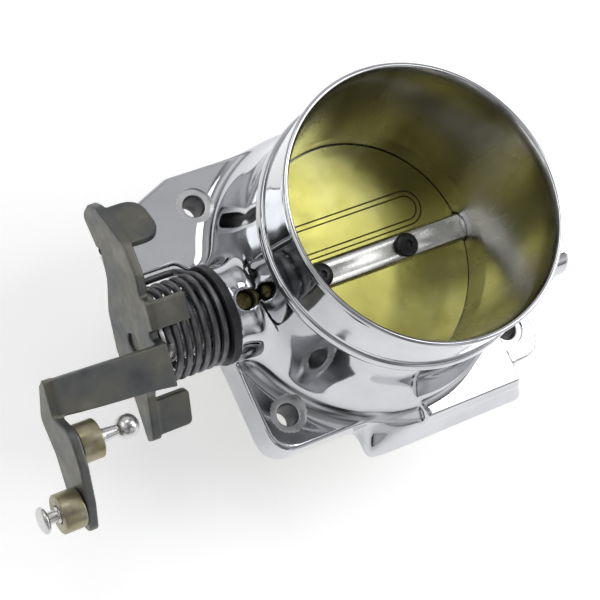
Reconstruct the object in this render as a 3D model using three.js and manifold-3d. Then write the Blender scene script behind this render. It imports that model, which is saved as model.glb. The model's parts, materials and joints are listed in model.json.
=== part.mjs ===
// Single-blade throttle body: a polished aluminium housing with a round inlet, a blade on a
// cross shaft, a torsion return spring and a stamped lever with its linkage arm.
// Millimetres. Z is the bore axis and points out of the inlet, z = 0 is the back face of the
// mounting flange. X is the shaft axis, with the lever on the -X side and the sensor pad on +X.
import * as THREE from "three";
import { ConvexGeometry } from "three/addons/geometries/ConvexGeometry.js";
import { mergeVertices } from "three/addons/utils/BufferGeometryUtils.js";
import Module from "manifold-3d";

const wasm = await Module();
wasm.setup();

// ---------- driving dimensions ----------
const GAP = 0.3; // running gap between neighbouring pieces
const BORE_R = 38.3; // bore radius where the blade closes
const WALL = 5.6; // wall of the inlet tube
const RIM_Z = 72.2; // inlet rim above the flange back face
const RIM_STEP = 0.55; // the rim stands proud of the tube, 88.9 mm across for its hose
const RIM_LIP = 1.6; // rim lip width
const BEAD_Z = 50.5; // hose bead height
const BEAD_STEP = 1.3; // the bead stands proud of the tube
const FLARE_STEP = 5.7; // the foot of the throat spreads past the tube
const FLARE_TOP = 34; // height where the foot starts to spread
const FLANGE_T = 12.7; // mounting flange thickness
const FLANGE_CORNER = 9; // flange corner radius
const BOLT_OUT_X = 3.4; // bolt holes past the bore radius, along the shaft
const BOLT_IN_Y = 2.3; // bolt holes inside the bore radius, across the shaft
const BOLT_EDGE_X = 9.3; // bolt centre to the flange's left and right edges
const BOLT_EDGE_Y = 11.3; // bolt centre to the flange's upper and lower edges
const BOLT_HOLE_R = 3.6; // clearance hole
const SPOT_FACE_R = 5.9; // spot face round each bolt hole
const SPOT_FACE_DEPTH = 0.8; // spot face depth
const SHAFT_Z = 18; // shaft axis above the flange back face
const SHAFT_R = 4.76; // shaft radius, three eighths of an inch across
const BOSS_R = 14.5; // shaft boss radius
const PAD_OUT = 12; // sensor pad past the flange edge
const PAD_HALF_Y = 27.5; // sensor pad half length
const PAD_HALF_Z = 15; // sensor pad half height
const SENSOR_RECESS_R = 11; // recess in the sensor pad
const SENSOR_RECESS_DEPTH = 3; // depth of that recess
const SENSOR_SCREW_Y = 20.5; // sensor screws, half spacing
const SENSOR_SCREW_R = 1.9; // sensor screw hole radius
const LOBE_OUT = 22; // stop screw lobe past the flange edge
const BLADE_TILT = THREE.MathUtils.degToRad(7.2); // blade angle when closed
const BLADE_T = 1.6; // blade thickness
const FLAT_DEPTH = 1.71; // depth of the milled flat below the shaft surface
const SCREW_X = 16.1; // blade screws, half spacing
const SCREW_HEAD_R = 3.9; // blade screw head radius
const SCREW_R = 1.5; // blade screw shank radius
const LEVER_TILT = THREE.MathUtils.degToRad(25); // lever angle when closed
const LEVER_OUT = 28.8; // outer face of the lever from the boss face
const LEVER_T = 3; // lever plate thickness
const TAB_T = 2.6; // thickness of the bent tabs
const TAB_CLEAR = 0.55; // spring tab above the coils
const ARM_OUT = 36.2; // outer face of the linkage arm from the lever's outer face
const TANG_LENGTH = 14.4; // tang at the bottom of the lever, from the lever's outer face
const SPRING_R = 14; // return spring mean radius
const WIRE_R = 1.15; // return spring wire radius
const SPRING_TURNS = 6.25; // return spring turns
const COLLAR_T = 2.7; // spring collar flange thickness
const STUD_R = 2.5; // ball stud and linkage pin radius where they pass the arm
const STUD_V = -17; // ball stud, distance along the lever from the shaft axis
const STUD_W = 21; // ball stud, distance across the lever from the shaft axis
const PIN_V = -34.5; // linkage pin along the lever
const PIN_W = 20.5; // linkage pin across the lever
const BALL_OUT = 19.6; // ball centre from the outer face of the arm
const BALL_R = 3.7; // ball radius
const PIN_OUT = 12.6; // linkage pin head past the outer face of the arm
const STOP_Y = 34.3; // closed-stop screw
const STOP_R = 2.5; // closed-stop screw radius

// ---------- sizes that follow from them ----------
const TUBE_R = BORE_R + WALL;
const RIM_R = TUBE_R + RIM_STEP;
const BEAD_R = TUBE_R + BEAD_STEP;
const FLARE_R = TUBE_R + FLARE_STEP;
const BOLT_X = BORE_R + BOLT_OUT_X;
const BOLT_Y = BORE_R - BOLT_IN_Y;
const FLANGE_HALF_X = BOLT_X + BOLT_EDGE_X;
const FLANGE_HALF_Y = BOLT_Y + BOLT_EDGE_Y;
const BOSS_LEFT_X = -(FLANGE_HALF_X + 1);
const PAD_X = FLANGE_HALF_X + PAD_OUT;
const LOBE_X = -(FLANGE_HALF_X + LOBE_OUT);
const STOP_X = LOBE_X + STOP_R + 0.2;
const SHAFT_FLAT = SHAFT_R - FLAT_DEPTH;
const LEVER_OUT_X = BOSS_LEFT_X - LEVER_OUT;
const LEVER_IN_X = LEVER_OUT_X + LEVER_T;
const ARM_X = LEVER_OUT_X - ARM_OUT;
const ARM_IN_X = ARM_X + LEVER_T;
const TANG_END_X = LEVER_OUT_X + TANG_LENGTH;
const COLLAR_R = SPRING_R + 2;
const TAB_W = SPRING_R + WIRE_R + TAB_CLEAR + TAB_T; // outer surface of the bent tabs
const BALL_X = ARM_X + BALL_OUT;
const PIN_HEAD_X = ARM_X - PIN_OUT;

// ---------- solids ----------
// A closed geometry as a solid that can be cut and joined.
function solid(geometry) {
  const bare = geometry.index ? geometry.toNonIndexed() : geometry.clone();
  bare.deleteAttribute("normal");
  bare.deleteAttribute("uv");
  const merged = mergeVertices(bare, 1e-4);
  const source = merged.index.array;
  const kept = [];
  for (let i = 0; i < source.length; i += 3) {
    const [a, b, c] = [source[i], source[i + 1], source[i + 2]];
    if (a !== b && b !== c && c !== a) kept.push(a, b, c);
  }
  const build = (triangles) =>
    new wasm.Manifold(
      new wasm.Mesh({
        numProp: 3,
        vertProperties: merged.attributes.position.array,
        triVerts: new Uint32Array(triangles),
      }),
    );
  const made = build(kept);
  if (made.volume() > 0) return made;
  for (let i = 0; i < kept.length; i += 3) {
    [kept[i + 1], kept[i + 2]] = [kept[i + 2], kept[i + 1]];
  }
  return build(kept);
}

function placed(geometry, matrix) {
  return solid(geometry.clone().applyMatrix4(matrix));
}

const turnX = (angle) => new THREE.Matrix4().makeRotationX(angle);
const turnY = (angle) => new THREE.Matrix4().makeRotationY(angle);
const turnZ = (angle) => new THREE.Matrix4().makeRotationZ(angle);
const shift = (x, y, z) => new THREE.Matrix4().makeTranslation(x, y, z);
const chain = (...all) => all.reduce((a, b) => a.clone().multiply(b));

// A closed [radius, height] profile turned about +Z.
function turned(profile, sides) {
  const points = profile.map(([r, z]) => new THREE.Vector2(r, z));
  points.push(points[0].clone());
  return new THREE.LatheGeometry(points, sides).applyMatrix4(turnX(Math.PI / 2));
}

// The same about +X through the shaft axis: heights become x.
function turnedOnShaft(profile, sides) {
  return placed(turned(profile, sides), chain(shift(0, 0, SHAFT_Z), turnY(Math.PI / 2)));
}

function rod(radius, from, to) {
  return [
    [0, from],
    [radius, from],
    [radius, to],
    [0, to],
  ];
}

function ring(inner, outer, from, to) {
  return [
    [inner, from],
    [outer, from],
    [outer, to],
    [inner, to],
  ];
}

function outline(points) {
  return new THREE.Shape(points.map(([x, y]) => new THREE.Vector2(x, y)));
}

// A polygon [x, y, corner radius] with its corners rounded.
function rounded(corners, steps = 5) {
  const out = [];
  corners.forEach(([x, y, radius = 0], i) => {
    const here = new THREE.Vector2(x, y);
    if (!radius) {
      out.push([x, y]);
      return;
    }
    const back = corners[(i + corners.length - 1) % corners.length];
    const next = corners[(i + 1) % corners.length];
    const to = new THREE.Vector2(back[0], back[1]).sub(here).normalize();
    const from = new THREE.Vector2(next[0], next[1]).sub(here).normalize();
    const half = Math.acos(THREE.MathUtils.clamp(to.dot(from), -1, 1)) / 2;
    const reach = radius / Math.tan(half);
    const start = here.clone().addScaledVector(to, reach);
    const end = here.clone().addScaledVector(from, reach);
    for (let k = 0; k <= steps; k++) {
      const t = k / steps;
      const a = start.clone().lerp(here, t);
      const b = here.clone().lerp(end, t);
      const p = a.lerp(b, t);
      out.push([p.x, p.y]);
    }
  });
  return outline(out);
}

function plate(shape, depth) {
  return new THREE.ExtrudeGeometry(shape, { depth, bevelEnabled: false, curveSegments: 8 });
}

// Lever coordinates: v along the lever, w across it, x along the shaft.
const onLever = chain(shift(0, 0, SHAFT_Z), turnX(LEVER_TILT));
// Maps (v, w, x) of a flat drawing to the lever: v to +Y, w to +Z, depth to +X.
const drawing = new THREE.Matrix4().set(0, 0, 1, 0, 1, 0, 0, 0, 0, 1, 0, 0, 0, 0, 0, 1);

function leverPlate(corners, x, depth) {
  return placed(plate(rounded(corners, 4), depth), chain(onLever, shift(x, 0, 0), drawing));
}

// A strip bent off the lever plate: it runs in x from one plate and its section is [v, w].
function leverStrip(section, xFrom, xTo) {
  return placed(
    plate(outline(section), xTo - xFrom),
    chain(onLever, shift(xFrom, 0, 0), drawing),
  );
}

// A convex solid from points in lever coordinates [v, w, x].
function leverHull(points) {
  const put = points.map(([v, w, x]) => new THREE.Vector3(x, v, w).applyMatrix4(onLever));
  return solid(new ConvexGeometry(put));
}

// A turned piece on an axis parallel to the shaft, at v, w on the lever.
function leverTurned(profile, v, w, sides) {
  return placed(turned(profile, sides), chain(onLever, shift(0, v, w), turnY(Math.PI / 2)));
}

// ---------- materials ----------
function finish(color, roughness, metalness) {
  return () => new THREE.MeshStandardMaterial({ color, roughness, metalness });
}
const POLISHED = finish(0xd6d8dc, 0.08, 1);
const BLADE_GOLD = finish(0xa6a045, 0.42, 0.9);
const STEEL = finish(0xc9c9c6, 0.28, 1);
const BLACK_OXIDE = finish(0x141516, 0.5, 0.8);
const SPRING_STEEL = finish(0x3b3d40, 0.35, 0.95);
const BLACK_PLASTIC = finish(0x101113, 0.45, 0);
const GREY_ZINC = finish(0x6e6f69, 0.5, 0.85);
const YELLOW_ZINC = finish(0x9a9262, 0.4, 0.9);
const BRONZE = finish(0x8a6a3c, 0.5, 0.9);
const SEAL_RUBBER = finish(0x1c1c1c, 0.8, 0);

const group = new THREE.Group();
group.name = "throttle_body";

function add(name, made, material) {
  const data = made.getMesh();
  const geometry = new THREE.BufferGeometry();
  geometry.setAttribute("position", new THREE.BufferAttribute(data.vertProperties, 3));
  geometry.setIndex(new THREE.BufferAttribute(data.triVerts, 1));
  const flat = geometry.toNonIndexed();
  flat.computeVertexNormals();
  const mesh = new THREE.Mesh(flat, material());
  mesh.name = name;
  group.add(mesh);
}

const joined = (parts) => parts.reduce((a, b) => a.add(b));

// ---------- housing ----------
function flange() {
  const X = FLANGE_HALF_X;
  const Y = FLANGE_HALF_Y;
  const C = FLANGE_CORNER;
  const corners = [
    [-X, -Y, C],
    [X, -Y, C],
    [X, Y, C],
    [4 - X, Y, 6],
    [-X - 7, STOP_Y + 8.7, 8],
    [LOBE_X, STOP_Y + 1.7, 5],
    [LOBE_X, SPRING_R + 6, 3],
    [-X - 5, SPRING_R + 6, 3],
    [-X, SPRING_R + 1, 2],
  ];
  return solid(plate(rounded(corners), FLANGE_T));
}

function throatOutside() {
  const foot = [];
  const steps = 5;
  for (let k = 0; k <= steps; k++) {
    const t = k / steps;
    const z = FLANGE_T + t * (FLARE_TOP - FLANGE_T);
    const r = TUBE_R + (FLARE_R - TUBE_R) * (1 - t) ** 2.4;
    foot.push([r, z]);
  }
  const inside = BORE_R - 4;
  return solid(
    turned(
      [
        [inside, 0.5],
        [FLARE_R, 0.5],
        ...foot,
        [TUBE_R, BEAD_Z - 2.4],
        [BEAD_R - 0.4, BEAD_Z - 1.3],
        [BEAD_R, BEAD_Z],
        [BEAD_R - 0.4, BEAD_Z + 1.3],
        [TUBE_R, BEAD_Z + 2.4],
        [RIM_R - 0.25, RIM_Z - 2.5],
        [RIM_R, RIM_Z - 0.5],
        [RIM_R - 0.4, RIM_Z],
        [inside, RIM_Z],
      ],
      56,
    ),
  );
}

function throatInside() {
  const mouth = RIM_R - RIM_LIP;
  return solid(
    turned(
      [
        [0, -1],
        [BORE_R, -1],
        [BORE_R, 30],
        [mouth - 1.5, RIM_Z - 6],
        [mouth - 0.9, RIM_Z - 2.2],
        [mouth, RIM_Z],
        [mouth, RIM_Z + 1],
        [0, RIM_Z + 1],
      ],
      56,
    ),
  );
}

// Block that widens towards the back of the flange, with a low flat pad on top of it.
function lowerBlock() {
  const padTop = FLANGE_T + 2.6;
  const inner = -(FLANGE_HALF_Y - 3.3);
  const front = -(FLANGE_HALF_Y + 6.5);
  const back = -(FLANGE_HALF_Y + 11.2);
  const padInner = -(FLANGE_HALF_Y - 11.3);
  const block = [
    [-18.5, inner, 0],
    [-18.5, back, 0],
    [43.5, back, 0],
    [43.5, inner, 0],
    [-18, inner, FLANGE_T],
    [-18, -FLANGE_HALF_Y, FLANGE_T],
    [0.5, front, FLANGE_T],
    [37.5, front, FLANGE_T],
    [39.5, inner, FLANGE_T],
  ];
  const pad = [
    [0.5, padInner, 6],
    [0.5, front, FLANGE_T - 2],
    [37.5, front, FLANGE_T - 2],
    [37.5, padInner, 6],
    [0.8, padInner, padTop],
    [0.8, front + 0.3, padTop],
    [36.8, front + 0.3, padTop],
    [36.8, padInner, padTop],
  ];
  const hull = (points) =>
    solid(new ConvexGeometry(points.map(([x, y, z]) => new THREE.Vector3(x, y, z))));
  return hull(block).add(hull(pad));
}

function bosses() {
  const left = turnedOnShaft(rod(BOSS_R, BOSS_LEFT_X, 2.3 - BORE_R), 32);
  const right = turnedOnShaft(rod(BOSS_R, BORE_R - 2.3, PAD_X - 6), 32);
  const Y = PAD_HALF_Y;
  const Z = PAD_HALF_Z;
  const face = rounded([
    [-Y, -Z, 8],
    [Y, -Z, 8],
    [Y, Z, 8],
    [-Y, Z, 8],
  ]);
  const pad = placed(plate(face, 8), chain(shift(PAD_X - 8, 0, SHAFT_Z), drawing));
  return [left, right, pad];
}

const BEARING_R = SHAFT_R + 2.84;
const BEARING_W = 7;
const SEAL_W = 2.2;
const LOCK_X = BOSS_LEFT_X + 4.4; // lock screw hole in the spring side boss

function housingCuts() {
  const cuts = [throatInside()];
  cuts.push(turnedOnShaft(rod(SHAFT_R + GAP, LOBE_X - 7, PAD_X + 17), 24));
  const pocket = BEARING_R + GAP;
  const pocketDepth = BEARING_W + SEAL_W + 3 * GAP;
  cuts.push(turnedOnShaft(rod(pocket, BOSS_LEFT_X - 1, BOSS_LEFT_X + pocketDepth), 24));
  cuts.push(turnedOnShaft(rod(pocket, PAD_X - pocketDepth - SENSOR_RECESS_DEPTH, PAD_X + 1), 24));
  cuts.push(turnedOnShaft(rod(SENSOR_RECESS_R, PAD_X - SENSOR_RECESS_DEPTH, PAD_X + 1), 24));
  for (const sx of [-1, 1]) {
    for (const sy of [-1, 1]) {
      const at = shift(sx * BOLT_X, sy * BOLT_Y, 0);
      cuts.push(placed(turned(rod(BOLT_HOLE_R, -1, FLANGE_T + 9), 16), at));
      const face = rod(SPOT_FACE_R, FLANGE_T - SPOT_FACE_DEPTH, FLANGE_T + 14);
      cuts.push(placed(turned(face, 20), at));
    }
  }
  cuts.push(placed(turned(rod(STOP_R + GAP, -1, FLANGE_T + 1), 12), shift(STOP_X, STOP_Y, 0)));
  const lockHole = rod(3.1, BOSS_R - 5, BOSS_R + 2);
  cuts.push(placed(turned(lockHole, 14), chain(shift(LOCK_X, 0, SHAFT_Z), turnX(0.12))));
  for (const sy of [-1, 1]) {
    const hole = placed(
      turned(rod(SENSOR_SCREW_R, PAD_X - 9, PAD_X + 1), 12),
      chain(shift(0, sy * SENSOR_SCREW_Y, SHAFT_Z), turnY(Math.PI / 2)),
    );
    cuts.push(hole);
  }
  return cuts;
}

let housing = joined([flange(), throatOutside(), lowerBlock(), ...bosses()]);
for (const cut of housingCuts()) housing = housing.subtract(cut);
add("throttle_housing", housing, POLISHED);

// ---------- bearings, seals and retaining ring ----------
function bearingAt(x) {
  return turnedOnShaft(ring(SHAFT_R + GAP, BEARING_R, x, x + BEARING_W), 20);
}
function sealAt(x) {
  return turnedOnShaft(ring(SHAFT_R + GAP, BEARING_R, x, x + SEAL_W), 20);
}
const LEFT_SEAL_X = BOSS_LEFT_X + GAP;
const LEFT_BEARING_X = LEFT_SEAL_X + SEAL_W + GAP;
const RIGHT_BEARING_X = PAD_X - SENSOR_RECESS_DEPTH - BEARING_W - SEAL_W - 2 * GAP;
const RIGHT_SEAL_X = RIGHT_BEARING_X + BEARING_W + GAP;
add("shaft_seal_left", sealAt(LEFT_SEAL_X), SEAL_RUBBER);
add("shaft_bearing_left", bearingAt(LEFT_BEARING_X), BRONZE);
add("shaft_bearing_right", bearingAt(RIGHT_BEARING_X), BRONZE);
add("shaft_seal_right", sealAt(RIGHT_SEAL_X), SEAL_RUBBER);

const CLIP_X = PAD_X - 2.4;
const GROOVE_R = SHAFT_R - 0.9;
add("shaft_clip", turnedOnShaft(ring(GROOVE_R + GAP, SHAFT_R + 2.64, CLIP_X, CLIP_X + 1), 20), BLACK_OXIDE);

const lockScrew = placed(
  turned(rod(2.8, BOSS_R - 4.7, BOSS_R - 1.6), 14),
  chain(shift(LOCK_X, 0, SHAFT_Z), turnX(0.12)),
);
const lockSlot = placed(
  new THREE.BoxGeometry(4.4, 0.9, 1),
  chain(shift(LOCK_X, 0, SHAFT_Z), turnX(0.12), shift(0, 0, BOSS_R - 1.6), turnZ(0.6)),
);
add("boss_lock_screw", lockScrew.subtract(lockSlot), YELLOW_ZINC);

// ---------- shaft, blade and blade screws ----------
const onBlade = chain(shift(0, 0, SHAFT_Z), turnX(BLADE_TILT));
const SHAFT_END_X = LEVER_OUT_X + 0.9;
const SHAFT_TANG_X = PAD_X + 4.5;
const JOURNAL_R = SHAFT_R - 1.06;
const JOURNAL_FLAT = JOURNAL_R - 0.9;

function shaft() {
  const profile = [
    [0, SHAFT_END_X],
    [JOURNAL_R, SHAFT_END_X],
    [JOURNAL_R, LEVER_IN_X + 0.4],
    [SHAFT_R, LEVER_IN_X + 0.4],
    [SHAFT_R, CLIP_X - GAP],
    [GROOVE_R, CLIP_X - GAP],
    [GROOVE_R, CLIP_X + 1 + GAP],
    [SHAFT_R, CLIP_X + 1 + GAP],
    [SHAFT_R, PAD_X],
    [SHAFT_R - 1, SHAFT_TANG_X],
    [0, SHAFT_TANG_X],
  ];
  let made = turnedOnShaft(profile, 28);
  const slotLength = 2 * BORE_R - 0.4;
  const slot = new THREE.BoxGeometry(slotLength, 12, BLADE_T + 2 * GAP);
  made = made.subtract(placed(slot, onBlade));
  const flat = new THREE.BoxGeometry(slotLength, 12, 4);
  made = made.subtract(placed(flat, chain(onBlade, shift(0, 0, SHAFT_FLAT + 2))));
  for (const side of [-1, 1]) {
    const hole = turned(rod(SCREW_R + GAP, -8, 8), 12);
    made = made.subtract(placed(hole, chain(onBlade, shift(side * SCREW_X, 0, 0))));
    const tongue = new THREE.BoxGeometry(5, 4, 12);
    const at = chain(onBlade, shift(SHAFT_TANG_X, side * 3.4, 0));
    made = made.subtract(placed(tongue, at));
    const flatEnd = new THREE.BoxGeometry(8, 4, 12);
    const atLever = chain(
      onLever,
      shift(LEVER_IN_X + 0.4 - 4, side * (JOURNAL_FLAT + 2), 0),
    );
    made = made.subtract(placed(flatEnd, atLever));
  }
  return made;
}
add("throttle_shaft", shaft(), STEEL);

function blade() {
  const across = BORE_R - GAP;
  const along = (BORE_R - GAP - (BLADE_T / 2) * Math.sin(BLADE_TILT)) / Math.cos(BLADE_TILT);
  const disc = turned(rod(1, -BLADE_T / 2, BLADE_T / 2), 64);
  disc.scale(across, along, 1);
  let made = placed(disc, onBlade);
  for (const side of [-1, 1]) {
    const hole = turned(rod(SCREW_R + GAP, -3, 3), 12);
    made = made.subtract(placed(hole, chain(onBlade, shift(side * SCREW_X, 0, 0))));
  }
  return made;
}
add("throttle_plate", blade(), BLADE_GOLD);

function bladeScrew(side) {
  const seat = SHAFT_FLAT + GAP;
  const profile = [
    [0, -4.2],
    [SCREW_R, -4.2],
    [SCREW_R, seat],
    [SCREW_HEAD_R, seat],
    [SCREW_HEAD_R, seat + 0.7],
    [SCREW_HEAD_R * 0.8, seat + 1.5],
    [SCREW_HEAD_R * 0.4, seat + 2],
    [0, seat + 2],
  ];
  const at = chain(onBlade, shift(side * SCREW_X, 0, 0));
  const socket = new THREE.CylinderGeometry(1.3, 1.3, 2, 6).applyMatrix4(turnX(Math.PI / 2));
  const body = placed(turned(profile, 18), at);
  return body.subtract(placed(socket, chain(at, shift(0, 0, seat + 2))));
}
add("plate_screw_left", bladeScrew(-1), BLACK_OXIDE);
add("plate_screw_right", bladeScrew(1), BLACK_OXIDE);

// ---------- spring seat, spring, sleeve and washer ----------
const COLLAR_X = BOSS_LEFT_X - GAP;
const SLEEVE_R = SHAFT_R + 4.24;
const COLLAR_HUB_R = SPRING_R - WIRE_R - 0.6;
add(
  "spring_collar",
  turnedOnShaft(
    [
      [SLEEVE_R + GAP, COLLAR_X - 6],
      [COLLAR_HUB_R, COLLAR_X - 6],
      [COLLAR_HUB_R, COLLAR_X - COLLAR_T],
      [COLLAR_R, COLLAR_X - COLLAR_T],
      [COLLAR_R, COLLAR_X],
      [SHAFT_R + GAP, COLLAR_X],
      [SHAFT_R + GAP, COLLAR_X - 1.5],
      [SLEEVE_R + GAP, COLLAR_X - 1.5],
    ],
    32,
  ),
  BLACK_PLASTIC,
);

const WASHER_X = LEVER_IN_X + GAP;
const WASHER_T = 1.3;
add(
  "lever_washer",
  turnedOnShaft(ring(SHAFT_R + GAP, SPRING_R + 0.4, WASHER_X, WASHER_X + WASHER_T), 32),
  STEEL,
);
const SLEEVE_FROM = WASHER_X + WASHER_T + GAP;
const SLEEVE_TO = COLLAR_X - 1.5 - GAP;
add(
  "spring_sleeve",
  turnedOnShaft(ring(SHAFT_R + GAP, SLEEVE_R, SLEEVE_FROM, SLEEVE_TO), 24),
  STEEL,
);

function returnSpring() {
  const from = COLLAR_X - COLLAR_T - GAP - WIRE_R;
  const to = SLEEVE_FROM + WIRE_R;
  const points = [];
  const put = (x, y, z) => points.push(new THREE.Vector3(x, y, z + SHAFT_Z));
  const startAngle = THREE.MathUtils.degToRad(10);
  // fixed leg: along the lower edge of the stop lobe
  const legY = SPRING_R + 4.2;
  const legZ = -5.5;
  put(LOBE_X + 0.5, legY - 0.4, legZ);
  put(LOBE_X + 6, legY - 0.2, legZ);
  put(from - 1.8, legY, legZ + 0.3);
  put(from - 0.4, legY - 1.2, legZ + 2.4);
  const steps = Math.round(SPRING_TURNS * 18);
  for (let k = 0; k <= steps; k++) {
    const t = k / steps;
    const angle = startAngle + t * SPRING_TURNS * 2 * Math.PI;
    const x = from + (to - from) * Math.min(1, Math.max(0, (t - 0.03) / 0.94));
    put(x, SPRING_R * Math.cos(angle), SPRING_R * Math.sin(angle));
  }
  // moving leg: a short straight run past the lever's spring tab
  const last = startAngle + SPRING_TURNS * 2 * Math.PI;
  const [c, s] = [Math.cos(last), Math.sin(last)];
  const reach = 4;
  put(to, SPRING_R * c - reach * s, SPRING_R * s + reach * c);
  const path = new THREE.CatmullRomCurve3(points, false, "centripetal");
  const section = outline(
    Array.from({ length: 8 }, (_, i) => {
      const a = ((i + 0.5) * Math.PI) / 4;
      return [WIRE_R * Math.cos(a), WIRE_R * Math.sin(a)];
    }),
  );
  const options = { steps: points.length + 4, extrudePath: path, bevelEnabled: false };
  return solid(new THREE.ExtrudeGeometry(section, options));
}
add("return_spring", returnSpring(), SPRING_STEEL);

// ---------- lever with its bent tabs and linkage arm ----------
const STUD_SKIN = 0.8; // metal left behind the ball stud's blind hole

function lever() {
  const face = [
    [42.3, -2.8, 3],
    [43, -8, 3],
    [39.6, -14.4, 3],
    [29.6, -9.8, 0.5],
    [28.8, -6.4, 0.5],
    [19.5, -8.2, 8],
    [9, -14.2, 8],
    [-4, -15.8, 8],
    [-20, -11.6, 6],
    [-33.3, -9.8, 1],
    [-32.2, -5.2, 1],
    [-17.4, -0.8, 4],
    [-11.3, 4, 3],
    [-10.6, TAB_W, 0],
    [1.4, TAB_W, 0],
    [2.6, TAB_W - 4.5, 1],
    [5, TAB_W - 4.5, 1],
    [6, TAB_W, 0],
    [14.6, TAB_W, 0],
    [15.6, TAB_W - 4.6, 1],
    [22, TAB_W - 3.6, 4],
    [31.6, 11.6, 3],
  ];
  const parts = [leverPlate(face, LEVER_OUT_X, LEVER_T)];
  const from = LEVER_OUT_X;
  const low = TAB_W - TAB_T;
  // spring tab, over the coils
  parts.push(
    leverHull([
      [6, low, from],
      [6, TAB_W, from],
      [14.6, low, from],
      [14.6, TAB_W, from],
      [6, low, from + 12.4],
      [6, TAB_W, from + 12.4],
      [13.4, low, from + 13],
      [13.4, TAB_W, from + 13],
    ]),
  );
  // closed-stop tab, along the slanted edge at the top of the lever
  const tabEnd = from + 13.8;
  const thick = (v, w, depth) => [v - 0.797 * depth, w - 0.604 * depth];
  const top = [42.3, -2.8];
  const low2 = [31.6, 11.6];
  const mix = (t) => [top[0] + (low2[0] - top[0]) * t, top[1] + (low2[1] - top[1]) * t];
  const tabPoints = [];
  const tabShape = [
    [0.1, from],
    [0.06, from + 7.3],
    [0.12, from + 10.6],
    [0.28, from + 13],
    [0.5, tabEnd],
    [0.76, from + 13.4],
    [0.92, from + 11.6],
    [1, from + 8.4],
    [0.98, from],
  ];
  for (const [t, x] of tabShape) {
    const [v, w] = mix(t);
    const [vi, wi] = thick(v, w, TAB_T);
    tabPoints.push([v, w, x], [vi, wi, x]);
  }
  parts.push(leverHull(tabPoints));
  // wide-open stop tang at the bottom of the lever
  const tangPoints = [];
  const tangEdge = [
    [-19.6, -1.6],
    [-31.4, -5.2],
  ];
  for (const [v, w] of tangEdge) {
    for (const x of [from, v < -20 ? TANG_END_X : TANG_END_X - 0.6]) {
      tangPoints.push([v, w, x], [v + 0.28 * TAB_T, w - 0.96 * TAB_T, x]);
    }
  }
  parts.push(leverHull(tangPoints));
  // linkage arm: a bar out along the shaft direction, then a plate parallel to the lever
  parts.push(
    leverHull([
      [-10.6, low, LEVER_IN_X],
      [-10.6, TAB_W, LEVER_IN_X],
      [1.4, low, LEVER_IN_X],
      [1.4, TAB_W, LEVER_IN_X],
      [-11.2, low, from - 7.2],
      [-11.2, TAB_W, from - 7.2],
      [1.8, low, from - 7.2],
      [1.8, TAB_W, from - 7.2],
    ]),
  );
  parts.push(
    leverHull([
      [-11.2, low, from - 7.1],
      [-11.2, TAB_W, from - 7.1],
      [1.8, low, from - 7.1],
      [1.8, TAB_W, from - 7.1],
      [-8.2, low, ARM_X],
      [-8.2, TAB_W - 0.8, ARM_X],
      [3, low, ARM_X],
      [3, TAB_W - 0.8, ARM_X],
      [-8.2, TAB_W, ARM_X + 1.2],
      [3, TAB_W, ARM_X + 1.2],
      [-8.2, low, from - 19.2],
      [3, low, from - 19.2],
      [-8.2, TAB_W, from - 19.2],
      [3, TAB_W, from - 19.2],
    ]),
  );
  const arm = [
    [3, TAB_W - 0.4, 1],
    [1.4, 13, 3],
    [-9.8, 6.4, 5],
    [-20.3, 11, 5],
    [-31, 11.8, 4],
    [-41.5, 17.4, 3],
    [-42.6, 22.6, 2.5],
    [-33.5, 26.4, 5],
    [-21.9, 28.6, 5],
    [-11.6, 27.6, 4],
    [-8.2, TAB_W, 1],
  ];
  parts.push(leverPlate(arm, ARM_X, LEVER_T));
  let made = joined(parts);
  // hub slot for the flats of the shaft end, and holes for the two studs
  const R = JOURNAL_R + GAP;
  const flat = JOURNAL_FLAT + GAP;
  const hub = [];
  const turn = Math.asin(flat / R);
  for (let k = -6; k <= 6; k++) {
    const a = Math.PI / 2 + (k / 6) * turn;
    hub.push([R * Math.cos(a), R * Math.sin(a)]);
  }
  for (let k = -6; k <= 6; k++) {
    const a = -Math.PI / 2 + (k / 6) * turn;
    hub.push([R * Math.cos(a), R * Math.sin(a)]);
  }
  made = made.subtract(leverStrip(hub, LEVER_OUT_X - 1, LEVER_IN_X + 1));
  const blind = rod(STUD_R + GAP, ARM_X + STUD_SKIN, ARM_IN_X + 1);
  const through = rod(STUD_R + GAP, ARM_X - 1, ARM_IN_X + 1);
  made = made.subtract(leverTurned(blind, STUD_V, STUD_W, 14));
  made = made.subtract(leverTurned(through, PIN_V, PIN_W, 14));
  return made;
}
add("throttle_lever", lever(), GREY_ZINC);

// ---------- ball stud and linkage pin, each with its collar ----------
const STUD_COLLAR_FROM = ARM_IN_X + GAP;
const STUD_COLLAR_TO = STUD_COLLAR_FROM + 6.8;
const PIN_COLLAR_TO = ARM_X - GAP;
const PIN_COLLAR_FROM = PIN_COLLAR_TO - 6.8;
const collarProfile = (from, to) => [
  [STUD_R + GAP, from],
  [5.7, from],
  [6, from + 0.5],
  [6, to - 0.5],
  [5.7, to],
  [STUD_R + GAP, to],
];
add(
  "ball_stud_collar",
  leverTurned(collarProfile(STUD_COLLAR_FROM, STUD_COLLAR_TO), STUD_V, STUD_W, 24),
  YELLOW_ZINC,
);
add(
  "linkage_pin_collar",
  leverTurned(collarProfile(PIN_COLLAR_FROM, PIN_COLLAR_TO), PIN_V, PIN_W, 24),
  YELLOW_ZINC,
);

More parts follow.
